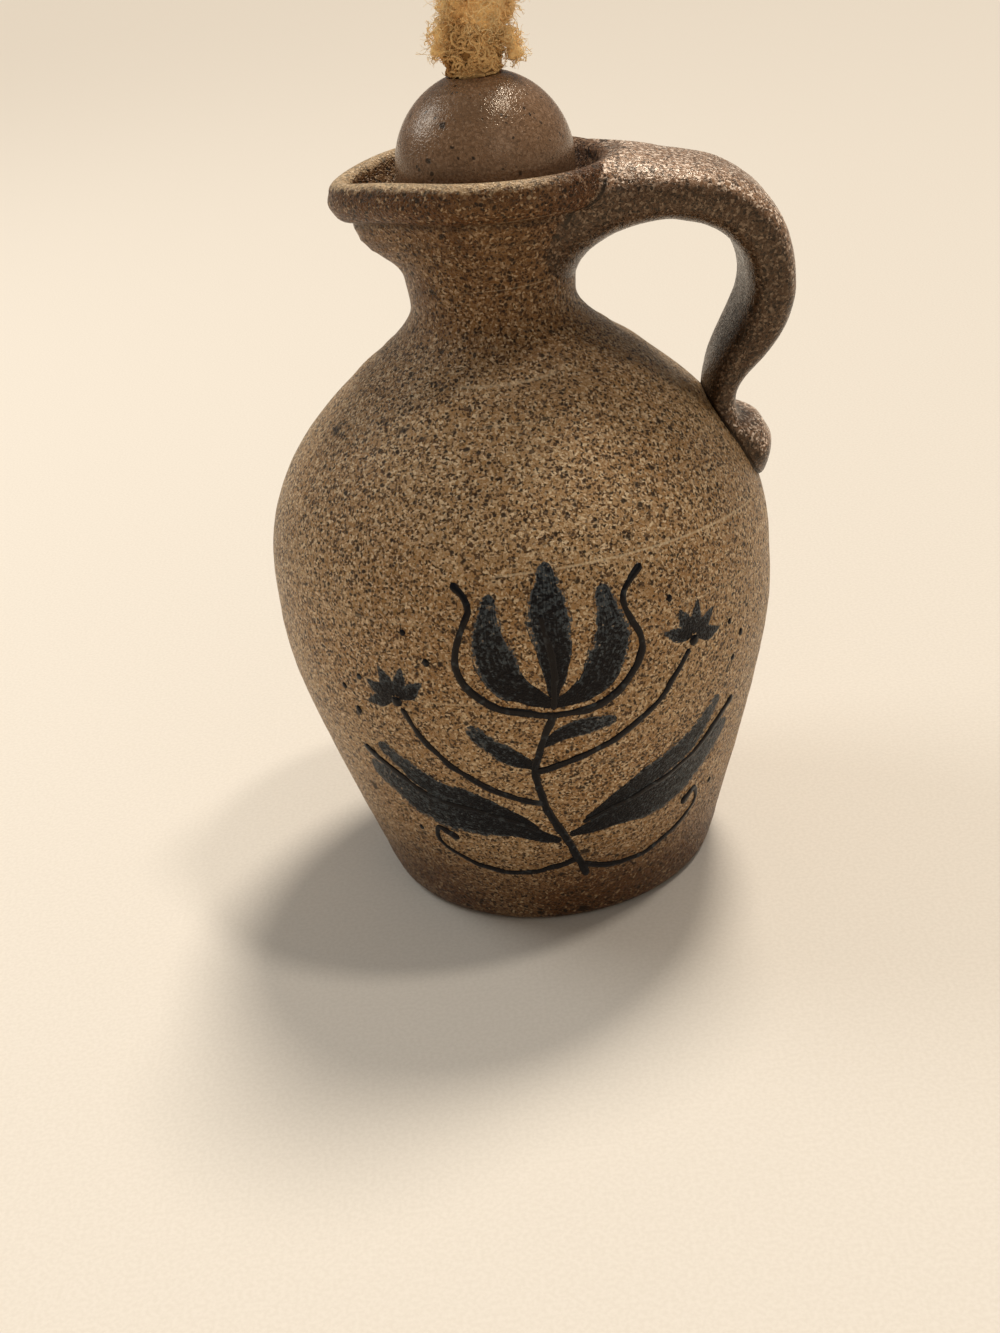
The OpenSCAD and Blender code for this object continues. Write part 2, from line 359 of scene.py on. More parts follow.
def clay_surface(nodes, clay, toast_and_shade, specks, spots):
    """Colour and height of speckled clay.

    The toast says how far the flame darkened the clay, and on the jug and the handle also how far
    painted shade darkens it, from 0 to 1; specks and spots say how many of its cells hold a small or a
    large iron spot. Each is a number or a socket.
    """
    place = nodes.place()
    stirred = nodes.vector_math("ADD", place, nodes.scaled(nodes.shake(place, 900.0, 1.0), STIR))
    drift = nodes.noise(place, 26.0, 3.0)["Fac"]
    body = nodes.mix(nodes.ease(drift, 0.38, 0.62), clay["pale"], clay["golden"])
    peel = nodes.ease(nodes.math("ABSOLUTE", nodes.sway(place, 1300.0, 1.5)), 0.16, 0.0)
    light, dark = nodes.parts(nodes.cells(stirred, SAND_CELL)["Color"])[:2]
    grain = nodes.plus(nodes.ease(light, 0.5, 1.0, 0.0, 0.75), nodes.ease(peel, 0.6, 1.0, 0.0, 0.2))
    colour = nodes.mix(grain, body, clay["grain"])
    patch = nodes.ease(nodes.noise(place, 60.0, 2.0)["Fac"], 0.3, 0.7, 0.7, 1.1)
    # The toast multiplies in the flame's colour, which is partly painted shade.
    colour = nodes.mix(nodes.times(toast_and_shade, patch), colour, clay["flame"], "MULTIPLY")
    sandy = nodes.times(nodes.ease(light, 0.82, 0.97, 0.0, 0.3), toast_and_shade)
    colour = nodes.mix(sandy, colour, clay["grain"])
    dust = nodes.ease(dark, 0.60, 0.88, 0.0, 0.92)
    crowd = nodes.ease(nodes.noise(place, 75.0, 2.0)["Fac"], 0.35, 0.65, 0.55, 1.15)
    pits = dots(nodes, stirred, *PITS, nodes.times(specks, crowd))
    strewn = nodes.plus(nodes.times(specks, 0.32), 0.32)
    flecks = dots(nodes, stirred, *FLECKS, strewn)
    ragged = nodes.vector_math("ADD", stirred, nodes.scaled(nodes.shake(place, 520.0), RAGGED))
    large = dots(nodes, ragged, *SPOTS, spots)
    iron = nodes.math("MAXIMUM", nodes.math("MAXIMUM", pits, flecks), large)
    colour = nodes.mix(dust, colour, clay["toasted"])
    colour = nodes.mix(nodes.times(iron, 0.94), colour, clay["iron"])
    height = nodes.minus(peel, nodes.times(iron, 0.5))
    return colour, height


# %% [markdown]
# ## From colour to finish
#
# The Principled shader takes the colour, a bump and a roughness. The bump could be real relief in
# the mesh, but the peel of the glaze is finer than any sensible mesh. The dips are rougher than the
# ridges, as on the real glaze. Its glass is slightly amber, which tints the gloss.

# %% Glaze on the shader
WARM_GLOSS = (1.0, 0.82, 0.62, 1)
USUAL_GLOSS = 0.36


def new_finish(name):
    material = bpy.data.materials.new(name)
    material.use_nodes = True
    return material, Nodes(material.node_tree), material.node_tree.nodes["Principled BSDF"]


def wear_finish(nodes, shader, colour, height, depth, roughness, gloss=USUAL_GLOSS):
    """Links colour, a bump of this depth in metres, and a roughness that follows the height."""
    nodes.fill(shader, {
        "Base Color": colour,
        "Normal": nodes.out("ShaderNodeBump", {"Height": height, "Strength": 1.0, "Distance": depth}),
        "Roughness": nodes.ease(height, 0.0, 1.0, roughness + 0.1, roughness - 0.08),
        "Specular IOR Level": gloss,
        "Specular Tint": WARM_GLOSS,
    })


# %% [markdown]
# ## What the fire and the potter left on the jug, with painted shade and highlight
#
# The flame toasted the mouth, the neck and the foot, which are darkened further as painted shade.
# The rim's top is paler, partly where the glaze ran thin and partly as a painted highlight, and
# painted shade darkens the recess under the rolled band and the grooves. The turning tool left lines
# round the belly. All of that depends on the place on the pot, so it is worked out from coordinates
# and from the profile's height, which the jug's mesh carries as an attribute. Painting it by hand
# would need an image.

# %% Toast and painted shade, thin edge and painted highlight, painted shade in recesses
# Heights between which the toast and the painted shade set in, below the mouth and above the foot
TOAST_AND_SHADE_TOP = (109 * MM, 140 * MM)
TOAST_AND_SHADE_FOOT = (30 * MM, 5 * MM)
# Heights on the mouth's profile: the ledge under the rolled band, the rib's grooves and the rim
LEDGE_Z = 151.6 * MM
GROOVES_Z = (142.4 * MM, 144.8 * MM, 147.2 * MM)
EDGE_Z = 159.2 * MM


def body_toast_and_shade(nodes, top_amount, foot_amount):
    """A mask of toast and painted shade: for the foot, and for the neck and mouth, a little lower on the
    flame's side.
    """
    place = nodes.parts(nodes.place())
    flame_side = nodes.plus(place["Z"], nodes.times(place["X"], 0.08))
    top = nodes.ease(flame_side, *TOAST_AND_SHADE_TOP, 0.0, top_amount)
    foot = nodes.ease(place["Z"], *TOAST_AND_SHADE_FOOT, 0.0, foot_amount)
    return nodes.math("MAXIMUM", top, foot)


def mouth_height(nodes):
    """The height on the profile before the mouth was leaned over."""
    return nodes.attribute("profile_height")


def near_height(nodes, height, level, reach):
    return nodes.ease(nodes.math("ABSOLUTE", nodes.minus(height, level)), reach, 0.2 * reach)


def beside_handle(nodes):
    """Where the mouth is as dark as the handle that was pressed on to it."""
    on_mouth = nodes.ease(mouth_height(nodes), 138 * MM, 146 * MM)
    on_side = nodes.ease(nodes.parts(nodes.place())["X"], 4 * MM, 20 * MM)
    return nodes.times(on_side, on_mouth)


def thin_edge_and_highlight(nodes):
    """Where the rim's top is paler, partly thin glaze and partly a painted highlight, in grains. It ends
    where the handle covers the rim.
    """
    place = nodes.place()
    ragged = nodes.times(nodes.sway(place, 900.0), 3 * MM)
    height = nodes.plus(mouth_height(nodes), ragged)
    edge = nodes.ease(height, EDGE_Z - 0.9 * MM, EDGE_Z + 0.5 * MM)
    return nodes.times(edge, nodes.ease(nodes.parts(place)["X"], 19 * MM, 8 * MM))


def painted_recess_shade(nodes):
    """Painted shade under the band, and a little in the grooves, where the recesses lie in shade."""
    sway = nodes.times(nodes.sway(nodes.place(), 60.0), 3 * MM)
    height = nodes.plus(mouth_height(nodes), sway)
    pool = near_height(nodes, height, LEDGE_Z, 1.4 * MM)
    for level in GROOVES_Z:
        groove = nodes.times(near_height(nodes, height, level, 0.7 * MM), 0.5)
        pool = nodes.math("MAXIMUM", pool, groove)
    return pool


# %% Turned lines
# Lines that the turning tool left: angle in radians and height in millimetres where each starts and
# ends, how far it sags between them, and how strong it is
TURNED_LINES = (
    (-1.75, 92, -0.32, 88.3, -1.6, 0.9), (-1.50, 71.5, -1.16, 72.6, 0.2, 0.7),
    (-1.45, 68.4, -1.22, 69.3, 0.0, 0.6), (-2.05, 66.0, -1.74, 65.6, 0.2, 0.6),
    (-1.0, 79.0, -0.55, 78.0, 0.4, 0.5), (-2.5, 84.0, -1.9, 83.0, 0.6, 0.4),
    (-1.95, 121.5, -1.1, 121.9, 0.3, 0.6), (0.5, 74.0, 1.9, 75.5, -0.9, 0.7),
    (1.1, 98.0, 2.4, 97.0, 0.8, 0.7), (2.2, 58.0, 3.0, 58.6, 0.3, 0.6),
    (0.1, 52.0, 0.9, 52.4, 0.2, 0.6), (1.5, 121.0, 2.7, 121.6, 0.3, 0.5),
)


def scratches(nodes):
    """Fine lines round the pot, from trimming, and the deeper lines that the turning tool left."""
    place = nodes.place()
    x, y, z = nodes.parts(place)
    stretched = nodes.vector_math("MULTIPLY", place, (14, 14, 1500))
    line = nodes.ease(nodes.noise(stretched, 1.0, 1.0)["Fac"], 0.66, 0.74)
    where = nodes.ease(nodes.noise(place, 34.0, 1.0)["Fac"], 0.48, 0.6)
    angle = nodes.math("ARCTAN2", y, x)
    lines = nodes.times(nodes.times(line, where), 0.4)
    for start, z_start, end, z_end, sag, strength in TURNED_LINES:
        share = nodes.over(nodes.minus(angle, start), end - start)
        rest = nodes.minus(1.0, share)
        between = nodes.times(share, rest)
        drop = nodes.times(share, (z_start - z_end) * MM)
        drop = nodes.plus(drop, nodes.times(between, 4 * sag * MM))
        away = nodes.plus(nodes.minus(z, z_start * MM), drop)
        groove = nodes.ease(nodes.math("ABSOLUTE", away), 0.32 * MM, 0.08 * MM, 0.0, strength)
        lines = nodes.math("MAXIMUM", lines, nodes.times(groove, nodes.ease(between, 0.0, 0.08)))
    return lines


# %% [markdown]
# ## Painted light and seam on the handle
#
# The handle is painted paler where it faces up and outwards, as painted light on its top. Where
# the strap was pressed on, a dark seam stays open: round the tail, and as a thin crack beside the
# band. The handle's mesh carries two attributes for that, which are measured when it is made: how
# far it faces the painted light, and how far it is from the jug. A texture could only guess at both.

# %% Painted light and seam
# How much paler the clay is painted where it faces the light, as painted light
PAINTED_TOP_LIGHT = (5.0, 6.0, 7.5, 1)
# Where the seam is dark: near the jug round the tail, and in front of the band as a thin crack
SEAM_REACH = 0.7 * MM
CRACK_GAP = 0.8 * MM
CRACK_Z, CRACK_HALF_Z = 152.5 * MM, 4.5 * MM


def open_seam(nodes):
    """A mask of the seam on the handle, whose mesh carries its distance from the jug as gap."""
    gap = nodes.attribute("gap")
    y, z = nodes.parts(nodes.place())[1:]
    on_tail = nodes.ease(z, 124 * MM, 118 * MM)
    tail = nodes.times(nodes.ease(gap, SEAM_REACH, 0.2 * MM), on_tail)
    off_crack = nodes.math("ABSOLUTE", nodes.minus(gap, CRACK_GAP))
    off_band = nodes.math("ABSOLUTE", nodes.minus(z, CRACK_Z))
    on_band = nodes.ease(off_band, CRACK_HALF_Z, CRACK_HALF_Z - 1 * MM)
    crack = nodes.times(nodes.ease(off_crack, 0.30 * MM, 0.10 * MM), on_band)
    in_front = nodes.math("LESS_THAN", y, 0.0)
    return nodes.math("MAXIMUM", tail, nodes.times(crack, in_front))


# %% Stoneware
# What the clay is multiplied with on the mouth, beside the handle
DARK_BESIDE_HANDLE = (0.80, 0.74, 0.80, 1)


def stoneware(name, clay, toast_and_shade, specks, spots, roughness, depth, gloss=USUAL_GLOSS, joined=False):
    """A finish of speckled clay. Without a given toast it is the body's, with toast and painted shade by
    height.

    A piece that is joined to the jug is dark in the open seam, and painted paler where it faces the light.
    """
    material, nodes, shader = new_finish(name)
    on_body = toast_and_shade is None
    if on_body:
        band = nodes.ease(mouth_height(nodes), LEDGE_Z, LEDGE_Z + 1 * MM, 0.0, 0.25)
        crowded = body_toast_and_shade(nodes, top_amount=0.12, foot_amount=0.25)
        specks = nodes.plus(nodes.plus(crowded, band), specks)
        # The rim's top is paler and less toasted: partly thin glaze, partly a painted highlight.
        edge = thin_edge_and_highlight(nodes)
        bare = nodes.minus(1.0, nodes.times(edge, 0.8))
        # Toast and painted shade, darker at the neck, the mouth and the foot.
        toasted = body_toast_and_shade(nodes, top_amount=0.80, foot_amount=1.1)
        toast_and_shade = nodes.times(nodes.plus(toasted, band), bare)
    colour, height = clay_surface(nodes, clay, toast_and_shade, specks, spots)
    if on_body:
        line = scratches(nodes)
        colour = nodes.mix(nodes.times(line, 0.6), colour, clay["grain"])
        height = nodes.minus(height, nodes.times(line, 0.8))
        # Painted shade in the recess under the band and in the grooves.
        colour = nodes.mix(nodes.times(painted_recess_shade(nodes), 0.45), colour, clay["iron"])
        # Paler rim top, partly a painted highlight.
        colour = nodes.mix(nodes.times(edge, 0.34), colour, clay["grain"])
        colour = nodes.mix(beside_handle(nodes), colour, DARK_BESIDE_HANDLE, "MULTIPLY")
    if joined:
        # Painted light: the handle is paler where it faces up and outwards.
        facing_light = nodes.ease(nodes.attribute("facing_light"), 0.35, 0.92)
        colour = nodes.mix(facing_light, colour, PAINTED_TOP_LIGHT, "MULTIPLY")
        seam = open_seam(nodes)
        colour = nodes.mix(seam, colour, clay["iron"])
        height = nodes.minus(height, nodes.times(seam, 2.0))
    wear_finish(nodes, shader, colour, height, depth, roughness, gloss)
    print("finish:", name)
    return material


BODY_FINISH = stoneware(
    "salt_glazed_stoneware", CLAY, toast_and_shade=None, specks=0.62, spots=0.55, roughness=0.42, depth=0.16 * MM,
)

# %% [markdown]
# ## Spinning a profile
#
# A thrown pot is a profile turned about an axis, so the jug's skin follows a rule: one Geometry
# Nodes recipe lays a grid over the turn and reads each row's place from the points of the profile.
# Blender's Screw modifier could turn the profile too, but a recipe can also pull the lip, lean the
# mouth over and add the potter's rings and the slight wobble of a pot that was lifted off the wheel
# while soft. The ball uses the same recipe with those inputs at zero.

# %% Recipe: spin a profile
# How quickly the rings and the wobble change round the pot, and the pitch of the wobble
RING_REACH = 0.5
WOBBLE_REACH = 0.9
WOBBLE_PITCH = 60 * MM
# Radius within which the pot runs true, and the distance over which the turn is welded shut
TRUE_R = 8 * MM
WELD = 0.004 * MM


def spin_recipe():
    sizes = (
        "Lip Pull", "Lip Half Angle", "Lip Droop", "Lip Low", "Lip High", "Neck Height", "Seat Height",
        "Lean", "Ring Depth", "Ring Pitch", "Wobble",
    )
    r = Recipe("Spin profile", {"Segments": int, **dict.fromkeys(sizes, float), "Centre": Vector})
    rows = r.add("GeometryNodeAttributeDomainSize", {0: r["Geometry"]}).outputs["Point Count"]
    columns = r.plus(r["Segments"], 1.0)
    grid = r.add("GeometryNodeMeshGrid", {"Vertices X": columns, "Vertices Y": rows}).outputs["Mesh"]
    index = r.out("GeometryNodeInputIndex")
    column = r.math("FLOOR", r.over(r.plus(index, 0.5), rows))
    row = r.minus(index, r.times(column, rows))
    look_up = {"Geometry": r["Geometry"], "Value": r.position(), "Index": row}
    outline = r.parts(r.out("GeometryNodeSampleIndex", look_up, data_type="FLOAT_VECTOR"))
    radius, height = outline["X"], outline["Z"]
    angle = r.times(r.over(column, r["Segments"]), TURN)
    cosine, sine = r.math("COSINE", angle), r.math("SINE", angle)

    def uneven(reach, pitch, depth):
        along = r.plus(r.over(height, pitch), r["Seed"])
        around = r.vector(r.times(cosine, reach), r.times(sine, reach), along)
        return r.times(r.sway(around, 1.0, 1.0), depth)

    rings = uneven(RING_REACH, r["Ring Pitch"], r["Ring Depth"])
    swell = r.plus(rings, uneven(WOBBLE_REACH, WOBBLE_PITCH, r["Wobble"]))
    radius = r.plus(radius, r.times(swell, r.ease(radius, 0.0, TRUE_R)))
    off_lip = r.over(r.minus(angle, math.pi), r["Lip Half Angle"])
    bell = r.math("EXPONENT", r.times(r.times(off_lip, off_lip), -1.0))
    lip = r.times(bell, r.ease(height, r["Lip Low"], r["Lip High"]))
    x = r.minus(r.times(radius, cosine), r.times(lip, r["Lip Pull"]))
    z = r.minus(height, r.times(lip, r["Lip Droop"]))
    upright = r.vector(x, r.times(radius, sine), z)
    tilt = r.times(r.ease(z, r["Neck Height"], r["Seat Height"]), r["Lean"])
    about = {"Vector": upright, "Center": r.vector(0.0, 0.0, r["Neck Height"]), "Angle": tilt}
    leaned = r.out("ShaderNodeVectorRotate", about, rotation_type="Y_AXIS")
    turned = r.move(grid, Position=r.vector_math("ADD", leaned, r["Centre"]))
    turned = r.store(turned, "profile_height", height)
    r.end(r.out("GeometryNodeMergeByDistance", {"Geometry": turned, "Distance": WELD}))
    return r


SPIN = spin_recipe()

# %% [markdown]
# ## The jug
#
# The profile is the one the solid has: two Bezier curves for the wall, a flare, a thick band with
# a step under it, a rounded rim, the seat for the ball, and the inside. It is written as a few
# stretches with more points where the shape is tight. The lines that the potter's rib left round
# the collar and the shoulder are small ridges on the outside.

# %% Jug sizes
BELLY_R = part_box("jug_body")[1].y
BELLY_Z = 76 * MM
FOOT_R = 38.3 * MM
FOOT_BEVEL = 1.5 * MM
FOOT_LEAN = math.radians(17)
WALL = 5.2 * MM
FLOOR = 7 * MM
NECK_R = 17.2 * MM
NECK_Z = 132.2 * MM
RIM_Z = 160 * MM
RIM_T = 4.4 * MM
BAND_H = 8 * MM
BAND_STEP = 1.2 * MM
LIP_PULL = 5 * MM
LIP_HALF_ANGLE = math.radians(32)
LIP_DROOP = 2.7 * MM
LIP_LOW = NECK_Z + 6 * MM
LIP_HIGH = NECK_Z + 17 * MM
MOUTH_LEAN = math.radians(3)
BALL_LOW, BALL_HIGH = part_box("wick_ball")
BALL_R = (BALL_HIGH.x - BALL_LOW.x) / 2
BALL_CENTRE = (BALL_LOW + BALL_HIGH) / 2
BALL_UPRIGHT_Z = RIM_Z - 1.2 * MM
SEAT_ANGLE = math.radians(34)
SEAT_GAP = 0.3 * MM
SEAT_LENGTH = 10 * MM
SEAT_WALL = 7.8 * MM
SEAT_R = (BALL_R + SEAT_GAP) * math.cos(SEAT_ANGLE)
SEAT_Z = BALL_UPRIGHT_Z - (BALL_R + SEAT_GAP) * math.sin(SEAT_ANGLE)
THROAT_R = NECK_R - WALL
COLLAR_R = SEAT_R + SEAT_WALL
RIM_R = BALL_R + 4.3 * MM + RIM_T / 2
SHOULDER_H = NECK_Z - BELLY_Z
UNDER_CURVE = [
    Vector((FOOT_R, FOOT_BEVEL)),
    Vector((FOOT_R, FOOT_BEVEL)) + 0.8 * BELLY_Z * Vector((math.sin(FOOT_LEAN), math.cos(FOOT_LEAN))),
    Vector((BELLY_R, 0.79 * BELLY_Z)),
    Vector((BELLY_R, BELLY_Z)),
]
SHOULDER_CURVE = [
    Vector((BELLY_R, BELLY_Z)),
    Vector((BELLY_R, BELLY_Z + 0.63 * SHOULDER_H)),
    Vector((NECK_R, NECK_Z - 0.19 * SHOULDER_H)),
    Vector((NECK_R, NECK_Z)),
]
# Height, depth and half width of the rib's lines on the outside
RIB_LINES = [
    (at * MM, depth * MM, half * MM) for at, depth, half in (
        (118.5, 0.30, 2.0), (123.0, 0.15, 0.9), (143.6, 0.22, 0.5), (145.9, 0.30, 0.6),
        (148.2, 0.20, 0.5), (7.0, 0.20, 1.0),
    )
]
print("belly", round(2 * BELLY_R / MM, 1), "mm wide, rim", round(RIM_Z / MM, 1), "mm high")


# %% Curves of the wall
def on_curve(curve, t):
    s = 1 - t
    return s**3 * curve[0] + 3 * s * s * t * curve[1] + 3 * s * t * t * curve[2] + t**3 * curve[3]


def curve_direction(curve, t):
    s = 1 - t
    a, b, c, d = curve
    return (s * s * (b - a) + 2 * s * t * (c - b) + t * t * (d - c)).normalized()


def shares(count):
    return [i / count for i in range(count + 1)]


def rib_height(z):
    return sum(depth * math.exp(-(((z - at) / half) ** 2)) for at, depth, half in RIB_LINES)


def off_wall(curve, t, distance):
    along = curve_direction(curve, t)
    return on_curve(curve, t) + distance * Vector((along.y, -along.x))


# %% Outside of the jug
# Steps under the belly, on the shoulder and on the flare, and how fast the flare opens with height
UNDER_STEPS, SHOULDER_STEPS, FLARE_STEPS = 66, 60, 22
FLARE_POWER = 1.8
BAND_ROUND = 1.4 * MM


def rim_point(degrees):
    turn = math.radians(degrees)
    return Vector((RIM_R, RIM_Z - RIM_T / 2)) + RIM_T / 2 * Vector((math.cos(turn), math.sin(turn)))


def rounded(points, cut, steps=4):
    """A line through points with each inner corner rounded, over at most cut on each side of it."""
    line = [points[0]]
    for before, corner, after in zip(points, points[1:], points[2:]):
        start = corner + (before - corner).normalized() * min(cut, (before - corner).length / 2.2)
        end = corner + (after - corner).normalized() * min(cut, (after - corner).length / 2.2)
        line += [start.lerp(corner, t).lerp(corner.lerp(end, t), t) for t in shares(steps)]
    return line + [points[-1]]


def outside_wall():
    wall = [(UNDER_CURVE, t) for t in shares(UNDER_STEPS)]
    wall += [(SHOULDER_CURVE, t) for t in shares(SHOULDER_STEPS)[1:]]
    return [off_wall(curve, t, rib_height(on_curve(curve, t).y)) for curve, t in wall]


def mouth_outside():
    top = Vector((COLLAR_R - 0.7 * MM, RIM_Z - BAND_H - BAND_STEP))
    line = []
    for s in shares(FLARE_STEPS)[1:]:
        z = NECK_Z + (top.y - NECK_Z) * s
        line.append(Vector((NECK_R + (top.x - NECK_R) * s**FLARE_POWER + rib_height(z), z)))
    roll = RIM_R + RIM_T / 2
    band = [
        line[-1],
        Vector((COLLAR_R - 0.5 * MM, RIM_Z - BAND_H)),
        Vector((COLLAR_R + 2.2 * MM, RIM_Z - BAND_H + 0.4 * MM)),
        Vector((roll + 0.7 * MM, RIM_Z - 0.55 * BAND_H)),
        rim_point(0),
    ]
    line += rounded(band, BAND_ROUND)[1:]
    return line + [rim_point(a) for a in range(15, 181, 15)]


print("outside of", len(outside_wall()), "points on the wall and", len(mouth_outside()), "on the mouth")

# %% Inside of the jug
# Steps on the shoulder, under the belly and in the throat, and how fast the throat opens with height
INNER_SHOULDER_STEPS, INNER_UNDER_STEPS, THROAT_STEPS = 30, 24, 8
THROAT_POWER = 1.6
SEAT_ROUND = 1.5 * MM
FOOT_ROUND = 1.2 * MM


def mouth_inside():
    half = SEAT_LENGTH / 2 * Vector((math.sin(SEAT_ANGLE), math.cos(SEAT_ANGLE)))
    seat = Vector((SEAT_R, SEAT_Z))
    low = seat - half
    throat = [
        Vector((THROAT_R + (low.x - THROAT_R) * s**THROAT_POWER, NECK_Z + (low.y - NECK_Z) * s))
        for s in shares(THROAT_STEPS)
    ]
    return rounded([rim_point(180), seat + half, low], SEAT_ROUND)[1:] + throat[::-1][1:]


def jug_profile():
    foot = [Vector((r, 0)) for r in (0, FOOT_R - 6 * MM, FOOT_R - FOOT_BEVEL)]
    wall = outside_wall()
    inner = [off_wall(SHOULDER_CURVE, 1 - t, -WALL) for t in shares(INNER_SHOULDER_STEPS)[1:]]
    inner += [off_wall(UNDER_CURVE, 1 - t, -WALL) for t in shares(INNER_UNDER_STEPS)[1:]]
    inner = [p for p in inner if p.y > FLOOR + WALL / 2]
    inner += [Vector((inner[-1].x - WALL / 2, FLOOR)), Vector((0, FLOOR))]
    line = rounded(foot + [UNDER_CURVE[0], wall[2]], FOOT_ROUND)[:-1] + wall[2:]
    line += mouth_outside() + mouth_inside() + inner
    return [(p.x, 0, p.y) for p in line]


# %% Jug skin
def make_jug():
    profile = jug_profile()
    print("jug profile of", len(profile), "points, rim radius", round(RIM_R / MM, 1), "mm")
    jug = SPIN.bake("jug_skin", point_carrier("jug_profile", profile), {
        "Segments": 256, "Lip Pull": LIP_PULL, "Lip Half Angle": LIP_HALF_ANGLE, "Lip Droop": LIP_DROOP,
        "Lip Low": LIP_LOW, "Lip High": LIP_HIGH, "Neck Height": NECK_Z, "Seat Height": SEAT_Z,
        "Lean": MOUTH_LEAN, "Ring Depth": 0.30 * MM, "Ring Pitch": 4.5 * MM, "Wobble": 0.9 * MM,
        "Seed": 3, "Finish": BODY_FINISH,
    })
    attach(jug, "jug")
    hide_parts("jug_body")
    return jug


JUG = make_jug()

# %% [markdown]
# ## The wick
#
# The wick is a soft cotton rope of three strands, and each strand is a bundle of yarns. It hangs
# straight down from the tuft, through the ball and almost to the floor of the jug. A texture on a
# plain tube would show a smooth edge, so a recipe winds three lobed strands round the path, each
# twisted against the lay of the rope.

# %% Cotton finish
def cotton(name, light, dark, grain, heart, sheen):
    """A finish of loose fibres. An attribute marks the core between the curls, whose colour is painted
    shade.
    """
    material, nodes, shader = new_finish(name)
    place = nodes.place()
    drift = nodes.ease(nodes.noise(place, 130.0, 3.0)["Fac"], 0.42, 0.72)
    fibre = nodes.noise(place, grain, 3.0, 0.7)["Fac"]
    colour = nodes.mix(drift, light, dark)
    colour = nodes.mix(nodes.ease(fibre, 0.52, 0.3, 0.0, 0.6), colour, dark)
    colour = nodes.mix(nodes.attribute("heart"), colour, heart)
    wear_finish(nodes, shader, colour, fibre, depth=0.12 * MM, roughness=0.9)
    nodes.fill(shader, {"Sheen Weight": sheen, "Sheen Tint": light, "Sheen Roughness": 0.5})
    print("finish:", name)
    return material


# The heart's colour is painted shade between the curls.
WICK_FINISH = cotton(
    "wick_cotton", light=(0.76, 0.49, 0.21, 1), dark=(0.42, 0.22, 0.075, 1), grain=2400.0,
    heart=(0.30, 0.16, 0.05, 1), sheen=0.4,
)


# %% Recipe: lay a rope
STRAND_SIDES = 30


def rope_recipe():
    sizes = ("Strand Radius", "Winding Radius", "Lay Length", "Yarn Lay", "Yarn Depth", "Ring Spacing")
    r = Recipe("Lay a rope", {"Strands": int, "Yarns": int, **dict.fromkeys(sizes, float)})
    laid = {"Geometry": r.resample(r["Geometry"], r["Ring Spacing"]), "Amount": r["Strands"]}
    copies = r.add("GeometryNodeDuplicateElements", laid, domain="SPLINE").outputs
    length = r.add("GeometryNodeSplineParameter").outputs["Length"]
    first = r.over(copies["Duplicate Index"], r["Strands"])
    turn = r.times(r.plus(r.over(length, r["Lay Length"]), first), TURN)
    side = r.vector(r.math("COSINE", turn), r.math("SINE", turn))
    wound = r.move(copies[0], Offset=r.scaled(side, r["Winding Radius"]))
    twist = r.times(r.over(length, r["Yarn Lay"]), -TURN)
    wound = r.out("GeometryNodeSetCurveTilt", {"Curve": wound, "Tilt": twist})
    around = r.position()
    polar = r.math("ARCTAN2", r.parts(around)["Y"], r.parts(around)["X"])
    lobes = r.times(polar, r.over(r["Yarns"], 2.0))
    lobe = r.math("ABSOLUTE", r.math("COSINE", lobes))
    depth = r.times(r.minus(lobe, 1.0), r["Yarn Depth"])
    lobed = r.scaled(around, r.plus(depth, r["Strand Radius"]))
    r.end(r.tube(wound, r.move(r.ring(STRAND_SIDES, 1.0), Position=lobed)))
    return r


ROPE = rope_recipe()

# %% Wick
WICK_LOW, WICK_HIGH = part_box("wick")
WICK_R = (WICK_HIGH.x - WICK_LOW.x) / 2
WICK_X = (WICK_HIGH.x + WICK_LOW.x) / 2
# Heights of the points that the wick follows, from the tuft down to its end
WICK_STOPS = (177.1, 166, 155, 144, 133, 122, 111, 100, 90, 80, 70, 60, 50, 40, 30, 20, 10)


def make_wick():
    path = [Vector((WICK_X, 0, z * MM)) for z in WICK_STOPS]
    strand_r = WICK_R / (1 + 2 / math.sqrt(3))
    rope = ROPE.bake("wick_rope_strands", line_carrier("wick_path", [[(p, 1.0) for p in path]]), {
        "Strands": 3, "Yarns": 7, "Strand Radius": strand_r, "Winding Radius": WICK_R - strand_r,
        "Lay Length": 26 * MM, "Yarn Lay": 17 * MM, "Yarn Depth": 0.32 * MM, "Ring Spacing": 1.0 * MM,
        "Seed": 1, "Finish": WICK_FINISH,
    })
    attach(rope, "wick_rope")
    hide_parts("wick")


make_wick()

# %% [markdown]
# ## The ball
#
# The ball is the same clay, smoother and more purple-brown, and semi-gloss, because it was rolled
# in the hand and fired on its own. Its profile is an arc with a straight bore, and the edges of the
# bore are rounded. It goes through the same spin recipe.

# %% Ball
BORE_R = WICK_R + 0.3 * MM
BALL_CLAY = {
    "pale": (0.235, 0.132, 0.071, 1),
    "golden": (0.19, 0.101, 0.049, 1),
    "flame": (0.50, 0.45, 0.40, 1),
    "toasted": (0.150, 0.082, 0.043, 1),
    "iron": (0.020, 0.010, 0.006, 1),
    "grain": (0.34, 0.21, 0.13, 1),
}
BALL_FINISH = stoneware(
    "ball_stoneware", BALL_CLAY, toast_and_shade=0.25, specks=0.10, spots=0.3, roughness=0.22, depth=0.035 * MM,
    gloss=0.6,
)


